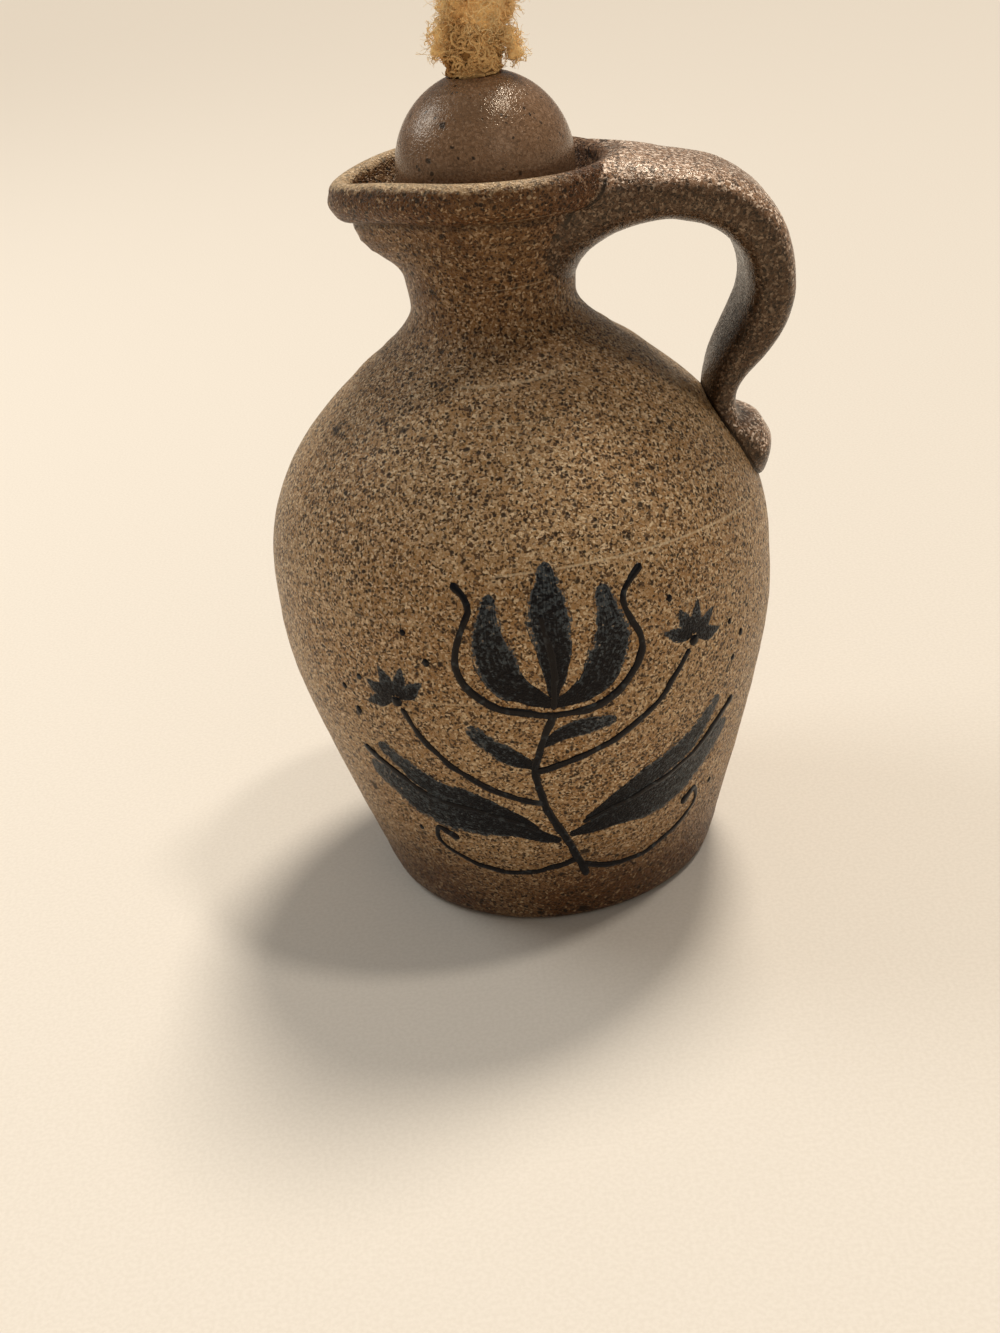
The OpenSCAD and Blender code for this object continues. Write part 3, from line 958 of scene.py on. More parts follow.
def ball_profile():
    bore_half = math.sqrt(BALL_R**2 - BORE_R**2)
    start = math.asin(bore_half / BALL_R)
    arc = [start - 2 * start * t for t in shares(96)]
    outside = [Vector((BALL_R * math.cos(a), BALL_R * math.sin(a))) for a in arc][2:-2]
    ends = [Vector((BORE_R, -bore_half)), Vector((BORE_R, 0)), Vector((BORE_R, bore_half))]
    line = rounded([outside[-1], *ends, outside[0]], 0.9 * MM)
    return [(p.x, 0, p.y) for p in outside + line[1:]]


def make_ball():
    ball = SPIN.bake("stopper_ball_skin", point_carrier("ball_profile", ball_profile()), {
        "Segments": 144, "Lip Half Angle": 1.0, "Lip High": 1.0, "Seat Height": 1.0,
        "Ring Pitch": 5 * MM, "Ring Depth": 0.06 * MM, "Wobble": 0.35 * MM, "Centre": BALL_CENTRE,
        "Seed": 8, "Finish": BALL_FINISH,
    })
    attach(ball, "stopper_ball")
    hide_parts("wick_ball")


make_ball()

# %% [markdown]
# ## The handle
#
# The handle was pulled as a strap of wet clay, pressed on to the mouth, bent over and pressed on to
# the shoulder with a thumb. Three Bezier curves carry its middle line. A flat strap with rounded
# edges is laid along them, ring by ring, in mesh code, since width and thickness change at every
# place. It spreads where it joins the mouth, and its tail keeps a crisp seam on the shoulder.

# %% Handle sizes
ROOT_H = 19 * MM
WAIST_T = 6.8 * MM
BEND = Vector((RIM_R + 32.2 * MM, RIM_Z - 29 * MM))
WAIST_Z = NECK_Z - 26 * MM
TAIL_Z = NECK_Z - 45 * MM
# Place on the run, and size there in millimetres: 0 mouth, 1 bend, 2 waist, 3 tip of the tail.
# The depth is given above and below the middle line, which differ only at the mouth.
STRAP_WIDTHS = ((0, 32), (0.2, 32), (0.5, 27.5), (1, 24), (2, 18), (2.35, 22), (3, 22))
STRAP_DEPTHS = ((0.34, 5.8), (0.6, 5.8), (1, 5.1), (1.3, 5.1), (2, 3.4), (2.25, 3.3),
                (2.62, 6.6), (2.72, 6.4), (3, 3.0))
# The strap starts hidden in the mouth's wall
HIDDEN_START = -0.12
STRAP_ABOVE = ((0, 9.5), (0.1, 9.5), *STRAP_DEPTHS)
STRAP_BELOW = ((HIDDEN_START, 11.5), *STRAP_DEPTHS)
STRAP_SQUARENESS = ((0, 2.2), (0.12, 2.3), (0.45, 3.3), (1.3, 3.3), (2, 2.8), (3, 2.6))
TAIL_ROUND_FROM = 2.72
TAIL_TIP = 3
print("handle bends", round(BEND.x / MM, 1), "mm from the axis")


# %% Middle line of the strap
def eased(u, keys):
    for (u0, a), (u1, b) in zip(keys, keys[1:]):
        if u <= u1:
            t = max(0, (u - u0) / (u1 - u0))
            return a + (b - a) * t * t * (3 - 2 * t)
    return keys[-1][1]


def wall_radius(z):
    """Radius of the jug's outside at a height between the foot and the neck."""
    curve = UNDER_CURVE if z < BELLY_Z else SHOULDER_CURVE
    low, high = 0.0, 1.0
    for _ in range(40):
        middle = (low + high) / 2
        if on_curve(curve, middle).y < z:
            low = middle
        else:
            high = middle
    return on_curve(curve, low).x


def strap_curves():
    rim_top = RIM_Z - RIM_R * math.sin(MOUTH_LEAN) - 0.4 * MM
    root = Vector((THROAT_R, rim_top - ROOT_H / 2))
    waist = Vector((wall_radius(WAIST_Z) + WAIST_T / 2 - 1 * MM, WAIST_Z))
    tip = Vector((wall_radius(TAIL_Z), TAIL_Z))
    tail_mid = (WAIST_Z + TAIL_Z) / 2
    rise = Vector((0.1, 1))
    return [
        [
            root, root + Vector((0.75 * (BEND.x - root.x), 8 * MM)),
            BEND + Vector((0, 0.75 * (root.y - BEND.y))), BEND,
        ],
        [
            BEND, BEND - Vector((0, 0.45 * (BEND.y - WAIST_Z))),
            waist + 0.36 * (BEND.y - WAIST_Z) * rise, waist,
        ],
        [
            waist, waist - 0.36 * (WAIST_Z - TAIL_Z) * rise,
            Vector((wall_radius(tail_mid), tail_mid)), tip,
        ],
    ]


print("wall radius at the waist:", round(wall_radius(WAIST_Z) / MM, 1), "mm")

# %% [markdown]
# ## Pressing the strap on to the mouth
#
# The wet strap was pushed against the mouth and smeared, so it spreads there in a hollow curve, and
# its end is lost in the mouth's wall. A Boolean union would leave a hard crease. Here each point near
# the mouth is moved instead: it spreads outwards as it comes closer, and may not come through the
# rim or the throat. The mouth leans over, so that is worked out upright and leaned back.

# %% Strap on the mouth
# Radius to which the clay is smeared on to the mouth, at the sides and under the strap
SMEAR_SIDE = 5.0 * MM
SMEAR_UNDER = 4.0 * MM
# How far the strap sinks below the rim, by the angle from the handle's middle in radians
RIM_COVERED = ((0.5, 0), (0.85, 1))
# How far the strap's top stays under the rim, and how it rises outside it
RIM_CLEAR = 0.03 * MM
RIM_RISE = 0.28
# How fast the wall that hides the strap's end opens with height
HIDING_POWER = 1.5


def lean_by(p, amount):
    """Turns a point about the middle of the neck, as the mouth leans over to the handle."""
    return Vector((0, 0, NECK_Z)) + Matrix.Rotation(amount, 3, "Y") @ (p - Vector((0, 0, NECK_Z)))


MOUTH_TABLE = [(p.y, p.x) for p in mouth_outside()]
print("the mouth's outside has", len(MOUTH_TABLE), "points")


def mouth_radius(z):
    """Radius of the mouth's outside at a height above the neck."""
    for (z0, r0), (z1, r1) in zip(MOUTH_TABLE, MOUTH_TABLE[1:]):
        if z <= z1:
            return r0 + (r1 - r0) * max(0, (z - z0) / (z1 - z0))
        if z1 > RIM_Z - 0.1 * MM:
            break
    return RIM_R


def smear_on_mouth(p, out, turn):
    """Spreads the strap where it meets the mouth, and keeps its hidden end inside the mouth's wall."""
    q = lean_by(p, -MOUTH_LEAN)
    gap = math.hypot(q.x, q.y) - mouth_radius(q.z)
    fillet = SMEAR_SIDE * abs(math.cos(turn)) + SMEAR_UNDER * max(0, -math.sin(turn)) + 0.01 * MM
    near = min(1, max(0, 1 - gap / fillet))
    q = lean_by(p + out * fillet * (1 - math.sqrt(1 - near * near)), -MOUTH_LEAN)
    reach = math.hypot(q.x, q.y)
    if near > 0 and reach > mouth_radius(q.z) + gap:
        pull = (mouth_radius(q.z) + gap) / reach
        q = Vector((q.x * pull, q.y * pull, q.z))
        reach *= pull
    beside = eased(math.atan2(abs(q.y), q.x), RIM_COVERED)
    q.z = min(q.z, RIM_Z - RIM_CLEAR + RIM_RISE * max(0, reach - RIM_R) - beside * RIM_T / 2)
    share = min(1, max(0, (q.z - NECK_Z) / (RIM_Z - RIM_T / 2 - NECK_Z)))
    least = THROAT_R + WALL / 2 + (RIM_R - THROAT_R - WALL / 2) * share**HIDING_POWER
    if reach < least:
        q.x = math.sqrt(least * least - q.y * q.y)
    return lean_by(q, MOUTH_LEAN)


# %% Rings of the strap
# Size and depth in millimetres of the marks that the hand left
HAND_MARKS = ((11, 0.35), (4, 0.1))
# Place on the run to which the strap is smeared on to the mouth
SMEAR_TO = 0.8
# Least of the squared size of the tip, so that the last ring has an area
TIP_LEAST = 0.004


def squared(value, squareness):
    return math.copysign(abs(value) ** (2 / squareness), value)


def strap_ring(curves, u, sides):
    part = min(2, int(u))
    t = u - part
    middle, along = on_curve(curves[part], t), curve_direction(curves[part], t)
    end = max(0, u - TAIL_ROUND_FROM) / (TAIL_TIP - TAIL_ROUND_FROM)
    round_off = math.sqrt(max(TIP_LEAST, 1 - end * end)) * MM
    width, square = eased(u, STRAP_WIDTHS) * round_off, eased(u, STRAP_SQUARENESS)
    above, below = eased(u, STRAP_ABOVE) * round_off, eased(u, STRAP_BELOW) * round_off
    ring = []
    for i in range(sides):
        a = TURN * (i + 0.5) / sides
        n = (above if math.sin(a) > 0 else below) * squared(math.sin(a), square)
        y = width / 2 * squared(math.cos(a), square)
        p = Vector((middle.x - along.y * n, y, middle.y + along.x * n))
        out = Vector((-along.y * math.sin(a), math.cos(a), along.x * math.sin(a)))
        p += out * sum(noise.noise(p / (size * MM)) * depth for size, depth in HAND_MARKS) * MM
        ring.append(smear_on_mouth(p, out, a) if u < SMEAR_TO else p)
    return ring


def loft(rings):
    """A closed skin over rings of points.

    Each end is closed with strips from the upper half of the ring to the lower, so that the end in
    the mouth follows the wall.
    """
    sides = len(rings[0])
    last = (len(rings) - 1) * sides
    points = [tuple(p) for ring in rings for p in ring]
    faces = []
    for k in range(len(rings) - 1):
        for i in range(sides):
            j = (i + 1) % sides
            faces.append((k * sides + i, k * sides + j, (k + 1) * sides + j, (k + 1) * sides + i))
    for i in range(sides // 2 - 1):
        strip = (i, i + 1, sides - 2 - i, sides - 1 - i)
        faces += [strip, tuple(last + corner for corner in strip)]
    return points, faces


# %% Handle
# The handle's clay is darker and more toasted than the jug's, as painted shade on its sides; the painted
# light makes its top paler again.
HANDLE_CLAY_WITH_SHADE = {
    **CLAY, "pale": (0.105, 0.052, 0.024, 1), "golden": (0.080, 0.039, 0.017, 1),
    "grain": (0.36, 0.26, 0.175, 1), "toasted": (0.016, 0.008, 0.004, 1),
}
HANDLE_FINISH = stoneware(
    "handle_stoneware", HANDLE_CLAY_WITH_SHADE, toast_and_shade=0.65, specks=0.62, spots=0.2, roughness=0.31, depth=0.07 * MM,
    gloss=0.45, joined=True,
)
# Direction from which the painted light falls on the handle
PAINTED_LIGHT_FROM = Vector((0.6, -0.2, 0.77))
# Place on the run up to which the rings are closer together, and how many there are
FINE_TO = 0.3
FINE_RINGS = 70
COARSE_RINGS = 135
STRAP_SIDES = 64
# The shoulder slopes, so the gap to it is shorter than it is measured level
SLOPE = 0.75
# Size and depth of the wander of the crack beside the band
CRACK_WANDER = (2 * MM, 0.15 * MM)


def gap_at(p):
    """Distance of a point of the strap from the jug's outside."""
    if p.z < NECK_Z:
        return SLOPE * (math.hypot(p.x, p.y) - wall_radius(p.z))
    q = lean_by(p, -MOUTH_LEAN)
    size, depth = CRACK_WANDER
    return math.hypot(q.x, q.y) - mouth_radius(q.z) + depth * noise.noise(p / size)


def make_handle():
    curves = strap_curves()
    places = [HIDDEN_START + (FINE_TO - HIDDEN_START) * t for t in shares(FINE_RINGS)]
    places += [FINE_TO + (TAIL_TIP - FINE_TO) * t for t in shares(COARSE_RINGS)[1:]]
    points, faces = loft([strap_ring(curves, u, STRAP_SIDES) for u in places])
    mesh = bpy.data.meshes.new("handle_strap")
    mesh.from_pydata(points, [], faces)
    mesh.materials.append(HANDLE_FINISH)
    gap = mesh.attributes.new("gap", "FLOAT", "POINT")
    gap.data.foreach_set("value", [gap_at(Vector(p)) for p in points])
    mesh.shade_smooth()
    handle = add_piece("handle_strap", mesh)
    # How far each point faces the painted light.
    facing_light = mesh.attributes.new("facing_light", "FLOAT", "POINT")
    facing_light.data.foreach_set("value", [corner.normal.dot(PAINTED_LIGHT_FROM) for corner in mesh.vertices])
    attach(handle, "jug")
    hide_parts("handle")


make_handle()

# %% [markdown]
# ## The tuft
#
# Above the ball the rope is untwisted and teased out: its yarns come up together out of the bore,
# spread, and spring into curls. Hair particles would not survive the export. A recipe blends a few
# listed lobes into one lumpy core of cotton and grows some thousand small curls and stray hairs out
# of it as thin tubes, each turned at random with a fixed seed. What would reach into the ball is
# pushed back to its surface. The recipe runs three times: for the fluff, for a haze of finer fibres
# over it, and for the tight curls at its base.

# %% Curls on a core
CURL_POINTS = 9
# Range of the sizes of curls, and how finely the tangle changes
SIZE_RANGE = (0.6, 1.5)
TANGLE_SCALE = 420.0


def grow(r, core, density, turns, radius, height, thickness, sides, tilt, offset):
    """Thin tubes that a recipe scatters on its core, tangles, and keeps out of the ball."""
    spiral = {"Resolution": CURL_POINTS, "Rotations": turns, "Start Radius": r.times(radius, 0.5),
              "End Radius": radius, "Height": height}
    curl = r.out("GeometryNodeCurveSpiral", spiral)
    seed = r.plus(r["Seed"], offset)
    scatter = {"Mesh": core, "Density": density, "Seed": seed}
    roots = r.add("GeometryNodeDistributePointsOnFaces", scatter).outputs
    lean = {0: (-tilt, -tilt, 0), 1: (tilt, tilt, TURN), "Seed": seed}
    angles = r.out("FunctionNodeRandomValue", lean, data_type="FLOAT_VECTOR")
    turned = {0: roots["Rotation"], 1: r.out("FunctionNodeEulerToRotation", {0: angles})}
    turned = r.out("FunctionNodeRotateRotation", turned, rotation_space="LOCAL")
    spread = {2: SIZE_RANGE[0], 3: SIZE_RANGE[1], "Seed": seed}
    scale = r.add("FunctionNodeRandomValue", spread).outputs[1]
    curls = r.instances(roots["Points"], curl, Rotation=turned, Scale=scale)
    place = r.position()
    curls = r.move(curls, Offset=r.scaled(r.shake(place, TANGLE_SCALE, 1.0), r["Tangle"]))
    from_ball = r.vector_math("SUBTRACT", place, r["Ball Centre"])
    reach = r.add("ShaderNodeVectorMath", {0: from_ball}, operation="LENGTH").outputs["Value"]
    push = r.math("MAXIMUM", r.over(r["Ball Radius"], reach), 1.0)
    clear = r.vector_math("ADD", r["Ball Centre"], r.scaled(from_ball, push))
    return r.tube(r.move(curls, Position=clear), r.ring(sides, thickness))


# %% Recipe: tease out a tuft
HAIR_SIDES = 3
HAIR_TURNS = 0.7
# How far curls and hairs lean from upright, in radians, and what the hairs add to the seed
CURL_LEAN = 1.0
HAIR_LEAN = 0.7
HAIR_SEED = 5.0


def tuft_recipe():
    sizes = (
        "Voxel", "Lump Size", "Lump Depth", "Curl Density", "Curl Height", "Curl Radius", "Curl Turns",
        "Yarn Radius", "Hair Density", "Hair Height", "Hair Radius", "Tangle", "Ball Radius",
    )
    r = Recipe("Tease out a tuft", {"Yarn Sides": int, **dict.fromkeys(sizes, float), "Ball Centre": Vector})
    normal = r.out("GeometryNodeInputNormal")
    size = r.out("GeometryNodeInputNamedAttribute", {"Name": "size"}, data_type="FLOAT")
    ball = r.out("GeometryNodeMeshIcoSphere", {"Radius": 1.0, "Subdivisions": 4})
    fog = {"Mesh": r.instances(r["Geometry"], ball, Scale=size), "Voxel Size": r["Voxel"]}
    cloud = r.out("GeometryNodeMeshToVolume", fog, resolution_mode="VOXEL_SIZE")
    core = r.out("GeometryNodeVolumeToMesh", {"Volume": cloud, "Threshold": 0.1})
    bulge = r.sway(r.scaled(r.position(), r.over(1.0, r["Lump Size"])), 1.0)
    core = r.move(core, Offset=r.scaled(normal, r.times(bulge, r["Lump Depth"])))
    curl = (r["Curl Turns"], r["Curl Radius"], r["Curl Height"], r["Yarn Radius"], r["Yarn Sides"])
    hair = (HAIR_TURNS, r["Curl Radius"], r["Hair Height"], r["Hair Radius"], HAIR_SIDES)
    # The core is marked, so that its colour is painted shade between the curls.
    heart = r.store(core, "heart", 1.0)
    curls = grow(r, core, r["Curl Density"], *curl, CURL_LEAN, 0.0)
    hairs = grow(r, core, r["Hair Density"], *hair, HAIR_LEAN, HAIR_SEED)
    join = r.add("GeometryNodeJoinGeometry")
    for part in (heart, curls, hairs):
        r.tree.links.new(part, join.inputs[0])
    r.end(join.outputs[0])
    return r


TUFT = tuft_recipe()

# %% Tuft
# The heart's colour is painted shade between the curls.
TUFT_FINISH = cotton(
    "tuft_cotton", light=(1.0, 0.75, 0.39, 1), dark=(1.0, 0.61, 0.23, 1), grain=1800.0,
    heart=(1.0, 0.67, 0.29, 1), sheen=0.25,
)
TUFT_BASE = Vector((WICK_X, 0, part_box("wick_tuft")[0].z))
# Lobes of the tuft in millimetres from its base: middle and radius
TUFT_LOBES = [
    (0, 0, 1.0, 2.7), (0.2, 0, 4.0, 4.0), (1.2, 0, 7.6, 5.2), (2.8, 0.4, 12.2, 5.8), (3.8, 0, 15.2, 4.8),
    (2.2, 2.6, 10.4, 4.4), (2.6, -2.6, 10.6, 4.4), (5.4, 0, 12.4, 4.0), (-0.8, 0, 11.8, 4.4),
    (-5.2, -1.0, 6.6, 2.2), (-6.4, -1.4, 4.0, 1.7), (6.8, -1.0, 4.8, 2.2), (8.0, -1.6, 1.8, 1.8),
    (2.8, 1.8, 16.4, 3.6), (5.2, -1.0, 16.2, 3.4), (0.4, -1.0, 16.2, 3.6),
]
# The same lobes for the haze, a little smaller
HAZE_LOBES = [(x, y, z, radius - 0.3) for x, y, z, radius in TUFT_LOBES]
# The tight curls at its base
BASE_LOBES = [(0, 0, 0.3, 4.5), (0, 0, 3.0, 5.2), (0.1, 0, 4.8, 5.2)]


def make_cotton(name, lobes, finish, values):
    carrier = point_carrier(name + "_lobes", [TUFT_BASE + Vector(lobe[:3]) * MM for lobe in lobes])
    size = carrier.data.attributes.new("size", "FLOAT", "POINT")
    size.data.foreach_set("value", [lobe[3] * MM for lobe in lobes])
    piece = TUFT.bake(name, carrier, {
        "Voxel": 0.5 * MM, "Hair Density": 0.5 / MM**2, "Hair Height": 2.4 * MM,
        "Hair Radius": 0.05 * MM, "Ball Radius": BALL_R + 0.25 * MM, "Ball Centre": BALL_CENTRE,
        "Seed": 11, "Finish": finish, **values,
    })
    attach(piece, "wick_rope")
    return piece


fluff = make_cotton("wick_tuft_fluff", TUFT_LOBES, TUFT_FINISH, {
    "Yarn Sides": 3, "Lump Size": 2.6 * MM, "Lump Depth": 2.0 * MM, "Curl Density": 1.3 / MM**2,
    "Curl Height": 1.2 * MM, "Curl Radius": 0.6 * MM, "Curl Turns": 1.5, "Yarn Radius": 0.08 * MM,
    "Tangle": 2.2 * MM,
})
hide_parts("wick_tuft")
make_cotton("wick_tuft_haze", HAZE_LOBES, TUFT_FINISH, {
    "Yarn Sides": 3, "Lump Size": 2.6 * MM, "Lump Depth": 2.0 * MM, "Curl Density": 1.6 / MM**2,
    "Curl Height": 2.0 * MM, "Curl Radius": 0.5 * MM, "Curl Turns": 0.9, "Yarn Radius": 0.035 * MM,
    "Tangle": 2.6 * MM, "Hair Density": 0.6 / MM**2, "Hair Height": 2.6 * MM, "Hair Radius": 0.03 * MM,
    "Seed": 29,
})
make_cotton("wick_tuft_curls", BASE_LOBES, WICK_FINISH, {
    "Yarn Sides": 6, "Lump Size": 2.0 * MM, "Lump Depth": 0.8 * MM, "Curl Density": 1.5 / MM**2,
    "Curl Height": 0.6 * MM, "Curl Radius": 1.0 * MM, "Curl Turns": 1.2, "Yarn Radius": 0.27 * MM,
    "Tangle": 1.4 * MM, "Hair Density": 0.3 / MM**2, "Hair Height": 1.6 * MM,
})

# %% [markdown]
# ## The cobalt decoration
#
# The front carries a decoration in cobalt: broad leaves brushed on thin, and lines trailed from a
# slip cup, which stand up as smooth near-black ridges. Here it is a plain flowering sprig of the old
# kind. The strokes are drawn flat, as points with a half width, and one recipe makes each a low
# rounded body, wraps the drawing round the jug and sets it on the skin by casting rays at it. A
# painted texture would be simpler, but would lose the raised edge that catches the light.

# %% Recipe: lay slip on the wall
STROKE_SIDES = 14
# How finely the hand's shake and the swelling of a line change
SHAKE_SCALE = 90.0
SWELL_SCALE = 260.0


def slip_recipe():
    sizes = ("Flatness", "Sink", "Wrap Radius", "Spacing", "Ray Start", "Shake", "Unevenness")
    r = Recipe("Lay slip on the wall", {**dict.fromkeys(sizes, float), "Wall": bpy.types.Object})
    place = r.position()
    flat = r.parts(place)
    along = r.add("GeometryNodeSplineParameter").outputs["Factor"]
    strokes = r.store(r.resample(r["Geometry"], r["Spacing"]), "along", along)
    ring = r.store(r.ring(STROKE_SIDES, 1.0), "across", flat["X"])
    stir = r.scaled(r.shake(place, SHAKE_SCALE), r["Shake"])
    strokes = r.move(strokes, Offset=r.vector_math("MULTIPLY", stir, (1, 1, 0)))
    swell = r.times(r.sway(place, SWELL_SCALE), r["Unevenness"])
    width = r.times(r.out("GeometryNodeInputRadius"), r.plus(swell, 1.0))
    tube = r.tube(strokes, ring, Scale=width)
    angle = r.minus(r.over(flat["X"], r["Wrap Radius"]), math.pi / 2)
    out = r.vector(r.math("COSINE", angle), r.math("SINE", angle))
    far = r.vector_math("ADD", r.scaled(out, r["Ray Start"]), r.vector(0.0, 0.0, flat["Y"]))
    wall = r.add("GeometryNodeObjectInfo", {"Object": r["Wall"]}).outputs["Geometry"]
    ray = {"Target Geometry": wall, "Source Position": far, "Ray Direction": r.scaled(out, -1.0)}
    hit = r.add("GeometryNodeRaycast", ray).outputs["Hit Position"]
    lift = r.minus(r.times(flat["Z"], r["Flatness"]), r["Sink"])
    laid = r.vector_math("ADD", hit, r.scaled(out, lift))
    r.end(r.move(tube, Position=laid))
    return r


SLIP = slip_recipe()

# %% [markdown]
# ## The cobalt finishes
#
# Thick slip melts to a smooth, almost black navy. Brushed slip is so thin that the clay grains show
# through, and it goes blue-grey where the brush ran dry, so its finish mixes the same clay with
# cobalt by the stroke's own attributes: along the stroke and across it.

# %% Cobalt
COBALT_DEEP = (0.003, 0.004, 0.007, 1)
COBALT_THIN = (0.065, 0.078, 0.086, 1)
# Grains of the clay that stay bare under the brush
BARE_SAND = 0.5 * MM


def trailed_slip():
    material, nodes, shader = new_finish("trailed_cobalt")
    pool = nodes.noise(nodes.place(), 500.0)["Fac"]
    colour = nodes.mix(nodes.ease(pool, 0.55, 0.75, 0.0, 0.5), COBALT_DEEP, COBALT_THIN)
    wear_finish(nodes, shader, colour, pool, depth=0.04 * MM, roughness=0.20, gloss=0.18)
    return material


def brushed_slip():
    material, nodes, shader = new_finish("brushed_cobalt")
    clay, peel = clay_surface(nodes, CLAY, toast_and_shade=0.2, specks=0.70, spots=0.4)
    place = nodes.place()
    along, across = nodes.attribute("along"), nodes.attribute("across")
    hairs = nodes.vector(nodes.times(across, 9.0), nodes.times(along, 3.0))
    streak = nodes.noise(hairs, 1.0)["Fac"]
    grain = nodes.noise(place, 1100.0, 2.0, 0.6)["Fac"]
    sand = nodes.parts(nodes.cells(place, BARE_SAND)["Color"])["X"]
    edge = nodes.ease(nodes.math("ABSOLUTE", across), 0.6, 1.0, 0.0, 0.5)
    edge = nodes.times(edge, nodes.ease(along, 0.1, 0.9, 0.25, 1.0))
    dry = nodes.plus(nodes.times(along, 0.36), nodes.times(streak, 0.6))
    dry = nodes.plus(nodes.plus(dry, edge), nodes.times(grain, 0.6))
    dry = nodes.plus(dry, nodes.times(sand, 0.34))
    thin = nodes.ease(dry, 0.92, 1.26)
    bare = nodes.ease(dry, 1.20, 1.44, 0.0, 0.92)
    colour = nodes.mix(thin, COBALT_DEEP, COBALT_THIN)
    colour = nodes.mix(bare, colour, clay)
    wear_finish(nodes, shader, colour, peel, depth=0.10 * MM, roughness=0.34, gloss=0.15)
    return material


TRAILED_FINISH = trailed_slip()
BRUSHED_FINISH = brushed_slip()
print("finishes:", TRAILED_FINISH.name, BRUSHED_FINISH.name)

# %% [markdown]
# ## Drawing the sprig
#
# The drawing is in millimetres on the unrolled belly: across from the front's middle, and up from
# the foot. Each stroke is a few points and a half width at each of them. A spline through the
# points is worked out here, so that the strokes swell and taper smoothly.

# %% Strokes of the sprig
TRAILED_STROKES = [
    # the stem, from the ground to the flower
    ([(8, 15), (4, 25), (-1, 37), (-2, 50), (3, 62)], (1.2, 1.1, 1.0, 0.9, 0.8)),
    # two side stems
    ([(-1, 38), (-13, 43), (-23, 52), (-29, 63)], (0.9, 0.9, 0.8, 0.7)),
    ([(-2, 48), (11, 51), (24, 58), (33, 68)], (0.9, 0.9, 0.8, 0.7)),
    # a tendril on each side, curled up at its end
    ([(6, 20), (-8, 17), (-22, 19), (-31, 24), (-30, 29), (-26, 27)], (0.9, 0.8, 0.8, 0.7, 0.8, 1.2)),
    ([(7, 18), (20, 15.5), (33, 18.5), (42, 24), (41, 29), (37, 27)], (0.9, 0.8, 0.8, 0.7, 0.8, 1.2)),
    # the flower's outline
    ([(3, 62), (-9, 65), (-15.5, 74), (-12, 86), (-15, 91)], (0.8, 1.0, 0.8, 0.7, 0.9)),
    ([(3, 62), (15, 64), (22, 72.5), (19.5, 84), (23.5, 89)], (0.8, 1.0, 0.8, 0.7, 0.9)),
    ([(3, 64), (3.5, 74), (2, 84)], (0.7, 0.8, 0.5)),
    # lines between the dabs of the leaves
    ([(-3, 30), (-15, 35.5), (-28, 39), (-43, 49)], (0.6, 0.8, 0.8, 1.2)),
    ([(8, 31), (20, 35), (33, 38.5), (49, 48.5)], (0.6, 0.8, 0.8, 1.2)),
]
BRUSHED_STROKES = [
    # the large leaves, two dabs each, heavy at the outer end
    ([(1, 27), (-12, 32), (-27, 35), (-41, 43)], (1.0, 3.4, 5.6, 3.6)),
    ([(-4, 31), (-15, 38), (-27, 42), (-37, 51)], (0.8, 2.4, 3.6, 2.2)),
    ([(5, 28), (18, 31), (32, 34), (46, 42)], (1.0, 3.4, 5.6, 3.6)),
    ([(9, 32), (20, 38), (32, 42), (42, 51)], (0.8, 2.4, 3.6, 2.2)),
    # the small leaves
    ([(-2, 49), (-8, 53), (-14, 58.5)], (0.8, 2.4, 2.0)),
    ([(0, 55), (7, 58), (14, 58.5)], (0.8, 2.2, 1.8)),
    # the flower's petals
    ([(2, 65), (-5.5, 70), (-8.5, 78), (-7.5, 87)], (1.2, 3.6, 4.2, 2.0)),
    ([(4, 65), (12.5, 69), (16, 77), (15.5, 86)], (1.2, 3.6, 4.2, 2.0)),
    ([(3.2, 67), (4, 76), (3.4, 85), (4, 92)], (1.2, 3.4, 4.4, 2.2)),
]
# Middle of each bud, and the angles in degrees at which its dabs stand
BUDS = [((-30, 65.5), (35, 75, 115, 155, 195)), ((34.5, 70.5), (-5, 35, 75, 115, 155))]
BUD_INNER = 1.4
BUD_OUTER = 7.5
# Round dots of slip: place and radius
DOTS = [
    ((-30, 65), 1.3), ((34.5, 70), 1.3), ((-41, 60), 1.0), ((-44, 65.5), 0.9), ((-39, 69), 0.8),
    ((47, 60), 1.0), ((50, 65), 0.9), ((46, 69.5), 0.8), ((-26, 81), 0.8), ((-22, 75), 0.9),
    ((29, 81), 0.8), ((-36, 27.5), 0.9), ((48, 27), 0.9),
]
print("sprig of", len(TRAILED_STROKES), "trailed and", len(BRUSHED_STROKES), "brushed strokes")

# %% Strokes as lines
STROKE_STEPS = 10
LEAST_HALF_WIDTH = 0.1
# Angles at which the points of a rounded end stand, and the least share of its width
CAP_ANGLES = (0.05, 0.5, 1.0)
CAP_LEAST = 0.05
# Places of the points of a dot, as shares of its radius
DOT_PLACES = (-0.999, -0.9, -0.7, -0.4, 0, 0.4, 0.7, 0.9, 0.999)
# Half widths of a bud's dab in millimetres, from its inner end
DAB_WIDTHS = (0.6, 1.7, 0.5)


def through(knots, i, t):
    """Catmull-Rom spline through a list of vectors, on the stretch from knot i."""
    last = len(knots) - 1
    a, b, c, d = (knots[min(last, max(0, i + k))] for k in (-1, 0, 1, 2))
    bend = 2 * a - 5 * b + 4 * c - d
    return b + 0.5 * t * ((c - a) + t * (bend + t * (3 * b - 3 * c + d - a)))


def stroke_line(points, widths):
    knots = [Vector((x, z, w)) for (x, z), w in zip(points, widths)]
    line = [through(knots, i, t) for i in range(len(knots) - 1) for t in shares(STROKE_STEPS)[:-1]]
    line.append(knots[-1])
    return [(Vector((p.x, p.y, 0)) * MM, max(LEAST_HALF_WIDTH, p.z) * MM) for p in line]


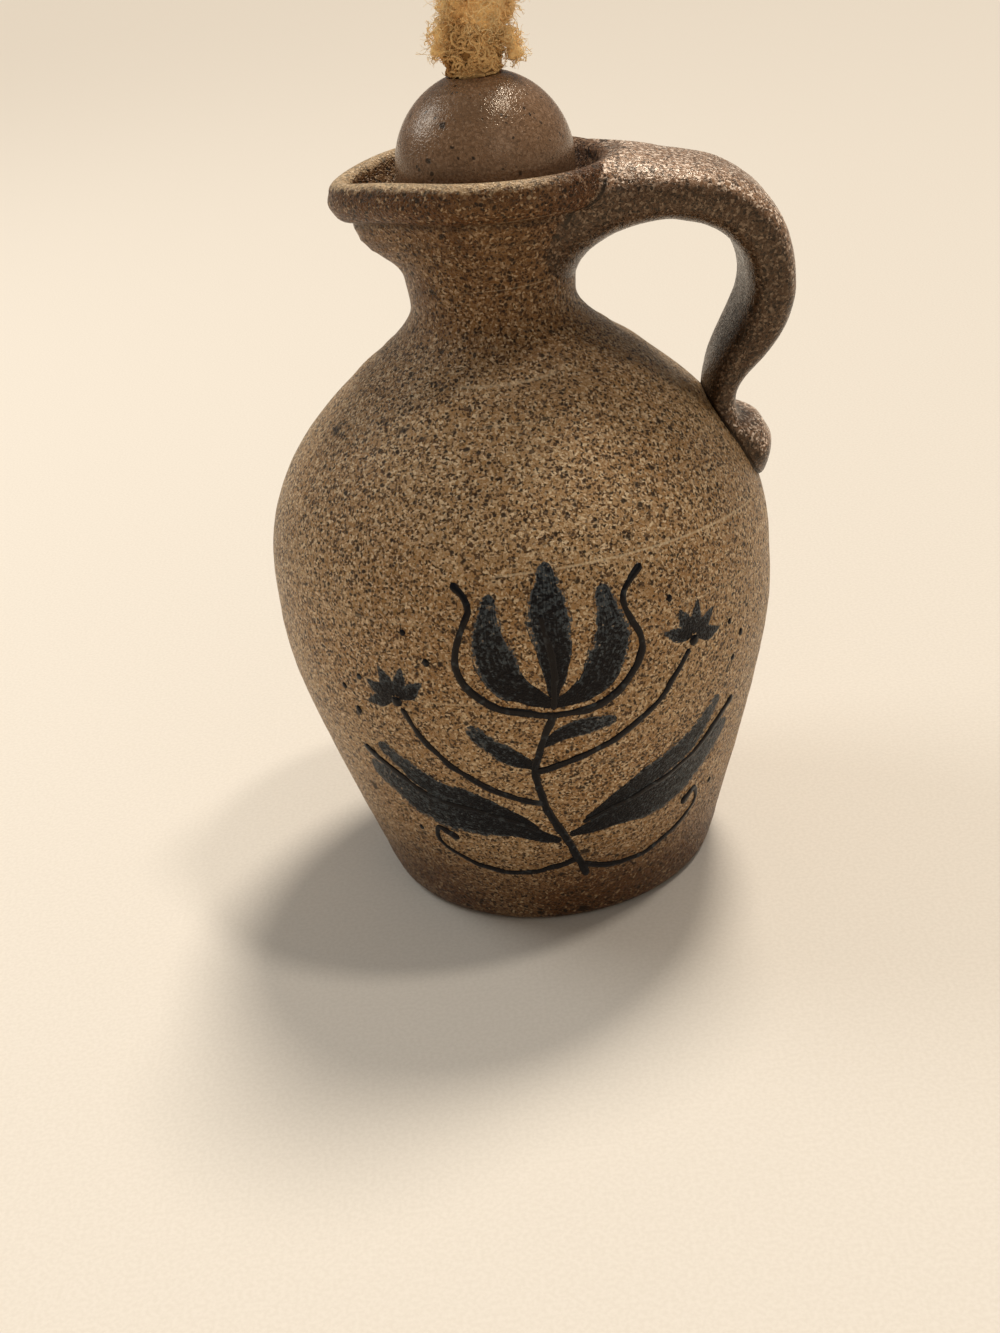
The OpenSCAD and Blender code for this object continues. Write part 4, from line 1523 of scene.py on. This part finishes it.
def cap(end, before, angles):
    """Points that round off a stroke beyond its end."""
    place, width = end
    out = (place - before[0]).normalized()
    return [(place + out * width * math.cos(a), width * max(CAP_LEAST, math.sin(a))) for a in angles]


def blunt(points, widths):
    """A stroke with small rounded ends, as slip flows back on itself."""
    line = stroke_line(points, widths)
    return cap(line[0], line[1], CAP_ANGLES) + line + cap(line[-1], line[-2], CAP_ANGLES[::-1])


def dot_line(middle, radius):
    x, z = middle
    return [(Vector((x + radius * s, z, 0)) * MM, radius * math.sqrt(1 - s * s) * MM) for s in DOT_PLACES]


def bud_strokes():
    dabs = []
    for (x, z), angles in BUDS:
        for degrees in angles:
            turn = math.radians(degrees)
            side = Vector((math.cos(turn), math.sin(turn)))
            ends = [Vector((x, z)) + side * (BUD_INNER + (BUD_OUTER - BUD_INNER) * t) for t in (0, 0.5, 1)]
            dabs.append(([tuple(p) for p in ends], DAB_WIDTHS))
    return dabs


trailed = [blunt(*stroke) for stroke in TRAILED_STROKES] + [dot_line(*dot) for dot in DOTS]
brushed = [blunt(*stroke) for stroke in BRUSHED_STROKES + bud_strokes()]
print(len(trailed), "trailed and", len(brushed), "brushed lines, with the dots and the dabs of the buds")


# %% Slip on the jug
def make_slip(name, lines, flatness, sink, uneven, finish):
    slip = SLIP.bake(name, line_carrier(name + "_drawing", lines), {
        "Flatness": flatness, "Sink": sink, "Wrap Radius": BELLY_R, "Spacing": 0.5 * MM,
        "Ray Start": 80 * MM, "Wall": JUG, "Shake": 2.2 * MM, "Unevenness": uneven,
        "Seed": 1, "Finish": finish,
    })
    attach(slip, "jug")


make_slip("trailed_slip", trailed, flatness=0.45, sink=0.06 * MM, uneven=0.9, finish=TRAILED_FINISH)
make_slip("brushed_slip", brushed, flatness=0.03, sink=0.0, uneven=0.4, finish=BRUSHED_FINISH)

# %% [markdown]
# ## Floor and light
#
# The jug stands on a plain pale floor. The main light is wide and comes from behind on the right
# and above, as in the picture, where it throws the shadow to the front and brightens the crest of
# the handle and the rim. A weaker one from above on the right gives the ball its glint. Two soft
# lights, from the left and from the front, and a grey surround keep the near side readable.

# %% Floor
FLOOR_COLOURS = ((0.73, 0.66, 0.57, 1), (0.69, 0.62, 0.53, 1))


def make_floor():
    side = 12.0
    mesh = bpy.data.meshes.new("floor")
    corners = [(-side, -side, 0), (side, -side, 0), (side, side, 0), (-side, side, 0)]
    mesh.from_pydata(corners, [], [(0, 1, 2, 3)])
    material, nodes, shader = new_finish("pale_floor")
    cloud = nodes.ease(nodes.noise(nodes.place(), 1200.0)["Fac"], 0.3, 0.7)
    colour = nodes.mix(cloud, *FLOOR_COLOURS)
    nodes.fill(shader, {"Base Color": colour, "Roughness": 0.85, "Specular IOR Level": 0.2})
    mesh.materials.append(material)
    floor = add_object("floor", mesh)
    print("floor of", 2 * side, "m")


make_floor()


# %% Lights
LOOK_AT = Vector((0, 0, 90)) * MM


def add_light(name, kind, strength, colour, towards):
    """A light that shines against the direction towards it."""
    data = bpy.data.lights.new(name, kind)
    data.energy = strength
    data.color = colour
    lamp = add_object(name, data)
    lamp.rotation_euler = (-towards).to_track_quat("-Z", "Y").to_euler()
    print(name, "of strength", strength)
    return lamp


def soft_light(name, place, size, power, colour):
    lamp = add_light(name, "AREA", power, colour, Vector(place) - LOOK_AT)
    lamp.location = place
    lamp.data.shape = "DISK"
    lamp.data.size = size


def sun_light(name, towards, spread, strength, colour):
    """A light so far away that the floor is lit evenly. spread is its width in degrees."""
    lamp = add_light(name, "SUN", strength, colour, Vector(towards))
    lamp.data.angle = math.radians(spread)


soft_light("light_left", place=(-0.85, 0.35, 0.85), size=0.6, power=4.0, colour=(0.92, 0.97, 1.0))
soft_light("light_front", place=(0.5, -1.0, 0.9), size=0.8, power=1.1, colour=(1.0, 0.97, 0.93))
sun_light("light_behind_right", towards=(48, 83, 177), spread=14, strength=2.5, colour=(1.0, 0.94, 0.85))
sun_light("light_above_right", towards=(38, -3, 93), spread=6, strength=0.7, colour=(1.0, 0.95, 0.88))

# %% Surround
world = bpy.data.worlds.new("surround")
world.use_nodes = True
background = world.node_tree.nodes["Background"]
Nodes(world.node_tree).fill(background, {"Color": (0.82, 0.77, 0.70, 1), "Strength": 0.27})
bpy.context.scene.world = world
bpy.context.scene.view_settings.view_transform = "Standard"
print("surround:", world.name)
